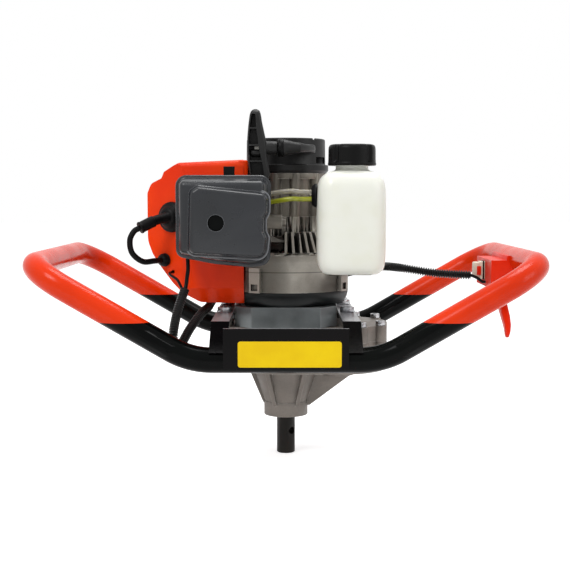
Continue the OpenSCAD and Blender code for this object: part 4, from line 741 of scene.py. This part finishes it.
def make_tank():
    rings = []
    for inset, z in TANK_STEPS:
        corner = max(TANK_CORNER - inset * 0.55, 4.0)
        ring = round_rect(TANK_HALF_X - inset, TANK_HALF_Y - inset, corner, 9)
        rings.append([(TANK_X - TANK_SHIFT + x, TANK_Y + y, z) for x, y in ring])
    n = len(rings[0])
    for r, z in NECK_STEPS:
        rings.append([(TANK_X + x, TANK_Y + y, z) for x, y in circle(r, n, math.pi / n)])
    piece("tank", loft(rings), "tank_plastic", "frame", ("fuel_tank",), 60.0)


# Fuel cap, with a finger groove at each quarter turn
CAP_PROFILE = [(0.5, 326.3), (17.25, 326.3), (17.25, 313.4), (17.7, 313.0), (23.0, 313.0),
               (23.7, 313.4), (24.0, 314.2), (24.0, 315.3), (23.7, 315.8), (23.6, 317.4),
               (23.5, 320.0), (23.4, 329.0), (23.2, 331.0), (22.4, 332.8), (21.0, 333.7),
               (19.4, 334.0), (16.6, 334.0), (16.0, 333.6), (15.7, 332.6), (15.0, 332.0),
               (6.0, 331.9), (0.5, 331.9)]
GROOVE_FOOT, GROOVE_FADE = 315.4, 2.0
GROOVE_DEPTH, GROOVE_HALF = 2.6, 8.0  # millimetres, degrees
CAP_SIDE_R = 19.0


def cap_wave(angle, r, z):
    """Grooves in the side, which fade out above the cap's foot."""
    if r < CAP_SIDE_R or z < GROOVE_FOOT:
        return r
    off = 45.0 - abs((math.degrees(angle) + 135.0) % 90.0 - 45.0)
    if off >= GROOVE_HALF:
        return r
    groove = max(0.0, math.cos(math.radians(off * 90.0 / GROOVE_HALF)))
    fade = min(1.0, (z - GROOVE_FOOT) / GROOVE_FADE)
    return r - GROOVE_DEPTH * groove ** 0.8 * fade


def make_cap():
    shape = lathe(CAP_PROFILE, 240, cap_wave)
    shape = placed(shape, Matrix.Translation((TANK_X, TANK_Y, 0.0)))
    piece("cap", shape, "black_plastic", "cap", ("fuel_cap",), 40.0)


# Cords, along the CAD's routes
FUEL_ROUTE = [(26.4, -90, 280), (20.8, -90, 280), (15, -90, 280), (4, -89, 280),
              (-12, -84, 277.5), (-22, -82, 276), (-30, -82, 276)]
RETURN_ROUTE = [(26.4, -90, 287), (20.8, -90, 287), (15, -90, 287), (4, -88, 288),
                (-12, -82, 286), (-23, -80, 283), (-31, -80, 283)]
CONDUIT_ROUTE = [
    (-103, -86, 188), (-109, -100, 168), (-112, -114, 148), (-111, -116, 137), (-106, -106, 134),
    (-98, -84, 148), (-88, -58, 161), (-84, -20, 163), (-84, 30, 163), (-80, 68, 167),
    (-58, 92, 172), (-10, 98, 176), (40, 94, 184), (78, 74, 195), (104, 38, 203), (124, 10, 204),
    (160, 0, 199.07), (181, -6, 197.87), (201, -10, 197.07)]
TAIL_ROUTE = [(185, -6.8, 197.7), (197, -9.4, 197.07), (202, -10.2, 196.67),
              (208, -11.6, 194.07), (212.5, -13, 190.57), (216.3, -13, 190.17)]
LEAD_ROUTE = [(-150, -76, 250), (-155, -78, 247), (-159, -80, 238), (-157, -79, 225),
              (-147, -74, 216), (-136, -64, 216), (-129, -51, 216), (-125, -44, 216)]
THROTTLE_ROUTE = [(-99, -70, 286), (-101, -71, 270), (-102, -74, 240), (-100, -80, 212),
                  (-101, -81.5, 200), (-102, -83.8, 191.2), (-103.7, -87.7, 185.6)]
KILL_ROUTE = [(-115, -46.5, 204), (-118, -51.7, 204), (-121, -57, 203), (-119, -72, 202),
              (-111, -83, 198), (-106.4, -85, 190)]
BOOT_ROUTE = [(-121, -60, 261), (-134, -68, 258), (-149.6, -75.8, 250.2)]
ROUTE_STEPS = 12

# Piece, route, radius, material, slot, node, stiffness, steps, sides
CORDS = (
    ("fuel_line", FUEL_ROUTE, 2.5, "fuel_hose", "fuel_hose", "fuel_lines", "medium", 50, 16),
    ("return_line", RETURN_ROUTE, 2.5, "return_hose", "fuel_hose", "fuel_lines", "medium", 50, 16),
    ("plug_lead", LEAD_ROUTE, 3.0, "rubber_black", "rubber_black", "ignition_lead", "medium",
     60, 16),
    ("throttle_cable", THROTTLE_ROUTE, 2.0, "black_plastic", "black_plastic", "control_cables",
     "medium", 60, 12),
    ("stop_wire", KILL_ROUTE, 1.4, "black_plastic", "black_plastic", "control_cables", "limp",
     50, 12),
    ("trigger_cable", TAIL_ROUTE, 1.7, "black_plastic", "black_plastic", "control_cables",
     "medium", 50, 12),
)

# Corrugated conduit: a rib is (part of its length, crest or not)
CONDUIT_R = 4.75
RIBS, RIB_DEPTH, RIB_STEPS = 230, 1.4, 50
RIB_WAVE = ((0.0, True), (0.34, True), (0.5, False), (0.84, False))


def make_conduit():
    line = smooth_route(CONDUIT_ROUTE, ROUTE_STEPS)
    dense = even(line, RIBS * RIB_STEPS)
    path, radii = [], []
    for i in range(RIBS):
        for at, crest in RIB_WAVE:
            path.append(dense[int(round((i + at) * RIB_STEPS))])
            radii.append(CONDUIT_R if crest else CONDUIT_R - RIB_DEPTH)
    path.append(dense[-1])
    radii.append(CONDUIT_R)
    obj = piece("conduit_tube", tube(path, radii, 14), "conduit", "frame", ("cable_conduit",), 80.0)
    coarse = even(line, 240)


def make_cords():
    for name, route, radius, material, slot, node, stiffness, steps, sides in CORDS:
        path = even(smooth_route(route, ROUTE_STEPS), steps)
        shape = tube(path, [radius] * len(path), sides)
        obj = piece(name, shape, material, "frame", (node,), 60.0)


# Rubber: grommet of the hoses, boot on the spark plug, grommet of the lead.
# Profiles are (radius, distance along the axis).
TANK_GROMMET = [(3.0, 25.6), (8.4, 25.6), (9.6, 26.2), (11.4, 28.4), (11.9, 29.4), (11.9, 30.4),
                (11.4, 31.3), (6.0, 31.4)]
BOOT_CUP = [(10.0, 0.1), (15.0, 0.1), (15.8, 0.8), (16.0, 2.0), (15.8, 3.6), (15.0, 5.0),
            (13.6, 5.8), (12.4, 6.4), (11.4, 7.6), (10.2, 9.6), (8.8, 11.2), (6.4, 12.2),
            (2.0, 12.4)]
LEAD_GROMMET = [(3.0, -1.0), (6.4, -0.6), (7.0, 0.2), (7.0, 1.4), (6.2, 1.8), (6.2, 2.6),
                (6.8, 3.2), (6.4, 4.8), (5.0, 6.6), (3.4, 7.6)]
BOOT_STEPS = 40


def boot_radius(t):
    """Flare at the cup, sleeve on the outer half, lip near its end."""
    sleeve = 0.9 if t > 0.52 else 0.0
    lip = 0.5 if 0.93 < t < 0.99 else 0.0
    return 5.0 + 1.6 * max(0.0, 1 - t / 0.25) + sleeve + lip


def make_rubber():
    shape = placed(lathe(TANK_GROMMET, 48), axis_matrix((0.0, -90.0, 283.5), RIGHT))
    piece("tank_grommet", shape, "rubber_black", "frame", ("fuel_lines",))
    stem = even(smooth_route(BOOT_ROUTE, 16), BOOT_STEPS)
    radii = [boot_radius(i / BOOT_STEPS) for i in range(BOOT_STEPS + 1)]
    cup = placed(lathe(BOOT_CUP, 56), axis_matrix(PLUG_FACE, PLUG_OUT))
    piece("boot", joined(cup, tube(stem, radii, 24)), "rubber_black", "frame", ("plug_boot",), 36.0)
    seat = placed(lathe(LEAD_GROMMET, 40), axis_matrix(LEAD_HOLE, PLUG_OUT))
    piece("lead_grommet", seat, "rubber_black", "frame", ("ignition_lead",))


# Starter grip: hollow T handle with ribs, and its rope along X. Tables are (height, X).
ROPE_Y, ROPE_Z = -68.0, 332.0
ROPE_R = 2.0
ROPE_START, ROPE_END = 14.0, -32.0
GRIP_LOW, GRIP_TOP = 293.0, 371.0
GRIP_HALF, GRIP_CORNER, GRIP_ROUND = 8.0, 3.4, 6.0
GRIP_LEFT = [(293.0, -33.0), (296.0, -35.6), (306.0, -37.4), (318.0, -38.8), (330.0, -39.6),
             (343.0, -39.4), (356.0, -38.2), (366.0, -36.8), (369.0, -35.6), (370.4, -34.0),
             (371.0, -32.6)]
GRIP_RIGHT = [(293.0, -21.0), (296.0, -18.0), (306.0, -16.6), (318.0, -18.4), (330.0, -19.4),
              (338.0, -20.0), (346.0, -21.8), (358.0, -24.4), (366.0, -25.6), (369.0, -26.6),
              (370.4, -28.2), (371.0, -29.8)]
GRIP_MID = [(293.0, -23.0), (306.0, -22.9), (318.0, -25.0), (334.0, -28.4), (345.0, -29.6),
            (352.0, -30.8), (371.0, -31.6)]
GRIP_HEIGHTS = ([293.0, 293.6, 294.6, 296.0, 298.5] + [302.0 + 4 * i for i in range(16)]
                + [365.0, 367.4, 369.2, 370.3, 371.0])
# Both ends of the pockets and the three ribs between them
GRIP_STOPS = (298.0, 318.2, 334.6, 351.7, 367.0)
GRIP_RIB_HALF = 0.9
STEM_PROFILE = [(6.9, -24.0), (6.9, -20.0), (6.7, -15.0), (6.5, -10.0), (6.0, -8.8), (2.4, -8.5)]
KNOT_PROFILE = [(1.0, -36.6), (3.4, -36.0), (4.2, -34.0), (4.2, -30.0), (3.8, -26.0)]


def grip_section(z):
    left, right = between(z, GRIP_LEFT), between(z, GRIP_RIGHT)
    half = GRIP_HALF
    for edge in (GRIP_LOW, GRIP_TOP):
        near = abs(z - edge)
        if near < GRIP_ROUND:
            half *= math.sqrt(max(0.12, 1 - (1 - near / GRIP_ROUND) ** 2))
    mid, width = (left + right) / 2, (right - left) / 2
    ring = round_rect(width, half, min(GRIP_CORNER, width * 0.6, half * 0.6), 5)
    return [(mid + x, ROPE_Y + y, z) for x, y in ring]


def grip_pocket(z0, z1):
    """Room between two ribs, open to the front."""
    front, floor = -90.0, ROPE_Y + 4.5
    rings = []
    for i in range(7):
        z = z0 + (z1 - z0) * i / 6
        left, right = between(z, GRIP_LEFT) + 1.3, between(z, GRIP_MID)
        rings.append([(left, front, z), (right, front, z), (right + 0.8, floor, z),
                      (left + 1.0, floor, z)])
    return loft(rings)


def make_grip():
    pockets = [grip_pocket(a + GRIP_RIB_HALF, b - GRIP_RIB_HALF)
               for a, b in zip(GRIP_STOPS, GRIP_STOPS[1:])]
    body = carved(loft([grip_section(z) for z in GRIP_HEIGHTS]), *pockets)
    stem = placed(lathe(STEM_PROFILE, 40), axis_matrix((0.0, ROPE_Y, ROPE_Z), RIGHT))
    knot = placed(lathe(KNOT_PROFILE, 30), axis_matrix((0.0, ROPE_Y + 0.6, ROPE_Z - 5.0), RIGHT))
    obj = piece("grip_handle", joined(body, stem, knot), "dark_plastic", "grip",
                ("starter_grip",), 34.0)
    rounded(obj, 0.5, 50.0)

    path = even([Vector((x, ROPE_Y, ROPE_Z)) for x in (ROPE_START, ROPE_END)], 120)
    shape = tube(path, [ROPE_R] * len(path), 14)
    rope = piece("rope", shape, "rope", None, ("starter_rope",), 60.0)
    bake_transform(rope)


# Recoil cover: skirt, body with vents in its top, notch, side slots, rope outlet with its bush
RECOIL_PROFILE = [
    (42.4, 307.1), (43.6, 307.1), (46.0, 310.0), (46.0, 315.4), (45.4, 316.0), (43.0, 316.2),
    (42.7, 317.0), (42.4, 342.4), (41.8, 343.4), (40.6, 343.9), (19.0, 344.0), (17.6, 343.2),
    (16.4, 343.2), (15.2, 344.0), (0.05, 344.0), (0.05, 341.0), (39.6, 341.0), (40.4, 340.0),
    (40.4, 307.1)]
# X, radius, distance behind the rope
OUTLET_RINGS = ((-2.3, 8.4, 0.0), (-1.6, 8.6, 0.2), (3.0, 7.4, 0.6), (9.0, 5.9, 1.2),
                (15.0, 5.2, 1.8), (19.0, 4.4, 6.0), (24.0, 3.6, 13.0), (29.0, 2.4, 22.0),
                (31.0, 1.2, 28.0))
# Outline (X, Y) from above, and its (inset, height)
WEB_PTS = ((-2.0, -63.0), (15.0, -64.5), (21.0, -58.5), (26.0, -52.0), (30.0, -44.0),
           (31.0, -36.0), (-2.0, -36.0))
WEB_STEPS = ((1.6, 327.6), (0.4, 328.2), (0.0, 329.4), (0.0, 334.6), (0.4, 335.8), (1.6, 336.4))
BUSH_PROFILE = [(2.6, -8.3), (6.8, -8.3), (8.6, -8.0), (9.3, -7.2), (9.4, -3.2), (9.1, -2.5),
                (8.0, -2.3), (2.6, -2.3)]


def make_recoil():
    outlet = loft([[(x, ROPE_Y + back + u, ROPE_Z + v) for u, v in circle(r, 40)]
                   for x, r, back in OUTLET_RINGS])
    web = loft([[(x, y, z) for x, y in shrunk(WEB_PTS, inset)] for inset, z in WEB_STEPS])
    pulley_room = lathe([(38.6, 320.0), (38.6, 340.6)], 80)
    vents = [turned(box(21.0, 35.0, -2.4, 2.4, 330.0, 350.0), a) for a in range(20, 341, 36)]
    slots = [turned(box(39.0, 50.0, -10.5, 10.5, 317.4, 324.2), a) for a in (-27, 63)]
    notch = loft([[(x - 2.2, y, 345.5), (x + 2.2, y, 345.5), (x, y, 341.8)]
                  for x, y in ((28.6, -50.0), (31.2, 50.0))])
    shroud_side = box(-70.0, -43.6, -70.0, 70.0, 290.0, 360.0)
    bore = rod((-10.0, ROPE_Y, ROPE_Z), RIGHT, 2.4, 2, 24.3, 24)
    shape = carved(lathe(RECOIL_PROFILE, 120, loop=True), pulley_room, *vents, *slots, notch,
                   shroud_side, bore, plus=(outlet, web))
    obj = piece("recoil_cover", shape, "dark_plastic", "frame", ("recoil_housing",), 30.0)
    rounded(obj, 0.4, 45.0)
    bush = placed(lathe(BUSH_PROFILE, 48, loop=True), axis_matrix((0.0, ROPE_Y, ROPE_Z), RIGHT))
    piece("rope_bush", bush, "black_plastic", "frame", (), 40.0)


# Throttle lever: tapered blade, rounded at its edges and tip
LEVER_PIVOT = Vector((238.0, 30.0, 191.066))
LEVER_DROP = math.radians(43.0)
# Distance from the pivot, sideways lean, half width, lower and upper face
LEVER_RINGS = ((-6.0, 0.0, 4.4, -5.0, 3.5), (0.0, 0.0, 4.5, -7.0, 6.0), (20.0, 0.0, 4.5, -7.0, 6.0),
               (45.0, 0.3, 4.5, -6.0, 5.6), (60.0, 1.2, 4.2, -5.2, 5.2),
               (72.0, 1.2, 3.6, -4.4, 4.8), (80.0, 0.2, 3.0, -3.6, 4.2),
               (84.0, -0.4, 2.3, -2.8, 3.4), (85.6, -0.8, 1.3, -1.6, 2.0))
HUB_PROFILE = [(3.0, -8.0), (3.0, -4.6), (7.6, -4.5), (8.0, -4.0), (8.0, 4.0), (7.6, 4.5),
               (3.0, 4.6), (3.0, 8.0)]


def make_lever():
    along = Vector((0, -math.cos(LEVER_DROP), -math.sin(LEVER_DROP)))
    across = Vector((0, -math.sin(LEVER_DROP), math.cos(LEVER_DROP)))
    rings = []
    for at, lean, half, low, high in LEVER_RINGS:
        tall = (high - low) / 2
        rings.append([LEVER_PIVOT + along * at + across * (y + (high + low) / 2)
                      + Vector((x + lean, 0, 0))
                      for x, y in round_rect(half, tall, min(half, tall) * 0.55, 5)])
    hub = placed(lathe(HUB_PROFILE, 40), axis_matrix(LEVER_PIVOT, RIGHT))
    piece("throttle_lever", joined(loft(rings), hub), "red_plastic", "trigger",
          ("throttle_trigger",), 40.0)


# Plain plate: middle, half sizes, (inset, distance to the front)
PLATE_X, PLATE_Z = 3.5, 132.8
PLATE_HALF_X, PLATE_HALF_Z = 49.5, 12.5
PLATE_STEPS = ((3.0, 160.62), (0.0, 160.62), (0.0, 161.1), (0.25, 161.3), (1.4, 161.32),
               (1.7, 161.2), (2.2, 161.2))


def make_plate():
    rings = []
    for inset, y in PLATE_STEPS:
        corner = 2.4 if inset < 2 else 1.4
        ring = round_rect(PLATE_HALF_X - inset, PLATE_HALF_Z - inset, corner, 5)
        rings.append([(PLATE_X + x, -y, PLATE_Z + z) for x, z in ring])
    piece("plate", loft(rings), "yellow_plate", "frame", ("name_plate",), 40.0)


def make_stop_button():
    body = joined(box(205.0, 212.0, -6.4, 6.4, 193.2, 211.0, 1.6, "X"),
                  box(211.0, 223.0, -6.0, 6.0, 192.4, 211.8, 1.2, "X"))
    mark = box(208.2, 212.8, -7.0, -5.6, 196.8, 206.6, 0.8, "Y")
    joint = box(214.6, 216.2, -6.8, 6.8, 191.9, 212.2, 0.6, "X")
    piece("stop_body", body, "switch_plastic", "switch", ("stop_switch",))
    piece("stop_mark", mark, "red_plastic", "switch")
    piece("stop_joint", joint, "black_plastic", "switch")


# Floor, backdrop and light
FLOOR_HALF, FLOOR_Z = 9.0, -0.0004
FLOOR_GLOW = 0.62
WORLD_UNSEEN, WORLD_SEEN = 0.5, 1.0
LAMP_TARGET = Vector((0.0, 0.0, 0.2))
# Name, place, size, power
LAMPS = (("key", (-0.9, -1.3, 1.7), 0.8, 21.0), ("top", (0.2, 0.3, 1.9), 0.9, 18.0),
         ("fill", (1.5, -1.0, 0.9), 0.9, 7.5))


def seen_rays(tree):
    """1 on rays that show what they meet: from the camera, mirrored or passed on."""
    path = tree.nodes.new("ShaderNodeLightPath").outputs
    seen = path["Is Camera Ray"]
    for name in ("Is Glossy Ray", "Is Transmission Ray"):
        most = tree.nodes.new("ShaderNodeMath")
        most.operation = "MAXIMUM"
        tree.links.new(seen, most.inputs[0])
        tree.links.new(path[name], most.inputs[1])
        seen = most.outputs[0]
    return seen


def make_floor():
    s = Shader("floor")
    s.put(Base_Color=(0.8, 0.8, 0.8, 1.0), Roughness=0.9)
    glow = s.node("ShaderNodeEmission")
    s.wire(s.math("MULTIPLY", seen_rays(s.tree), FLOOR_GLOW), glow.inputs["Strength"])
    add = s.node("ShaderNodeAddShader")
    s.wire(s.bsdf.outputs[0], add.inputs[0])
    s.wire(glow.outputs[0], add.inputs[1])
    s.wire(add.outputs[0], s.tree.nodes["Material Output"].inputs["Surface"])
    mesh = bpy.data.meshes.new("floor")
    corners = ((-1, -1), (1, -1), (1, 1), (-1, 1))
    mesh.from_pydata([(x * FLOOR_HALF, y * FLOOR_HALF, FLOOR_Z) for x, y in corners], [],
                     [(0, 1, 2, 3)])
    mesh.materials.append(s.mat)
    link("floor", mesh)


def make_world():
    world = bpy.data.worlds.new("world")
    scene.world = world
    world.use_nodes = True
    tree = world.node_tree
    back = tree.nodes["Background"]
    back.inputs["Color"].default_value = (1.0, 1.0, 1.0, 1.0)
    level = tree.nodes.new("ShaderNodeMapRange")
    level.inputs[3].default_value = WORLD_UNSEEN
    level.inputs[4].default_value = WORLD_SEEN
    tree.links.new(seen_rays(tree), level.inputs[0])
    tree.links.new(level.outputs[0], back.inputs["Strength"])


def make_lamps():
    for name, at, size, power in LAMPS:
        lamp = bpy.data.lights.new(name, "AREA")
        lamp.size = size
        lamp.energy = power
        obj = link(name, lamp)
        obj.location = at
        aim = LAMP_TARGET - Vector(at)
        obj.rotation_euler = aim.to_track_quat("-Z", "Y").to_euler()


make_camera()
make_materials()
dress_nodes()
make_filter()
make_shroud()
make_tank()
make_cap()
make_conduit()
make_cords()
make_rubber()
make_grip()
make_recoil()
make_lever()
make_plate()
make_stop_button()
make_floor()
make_world()
make_lamps()
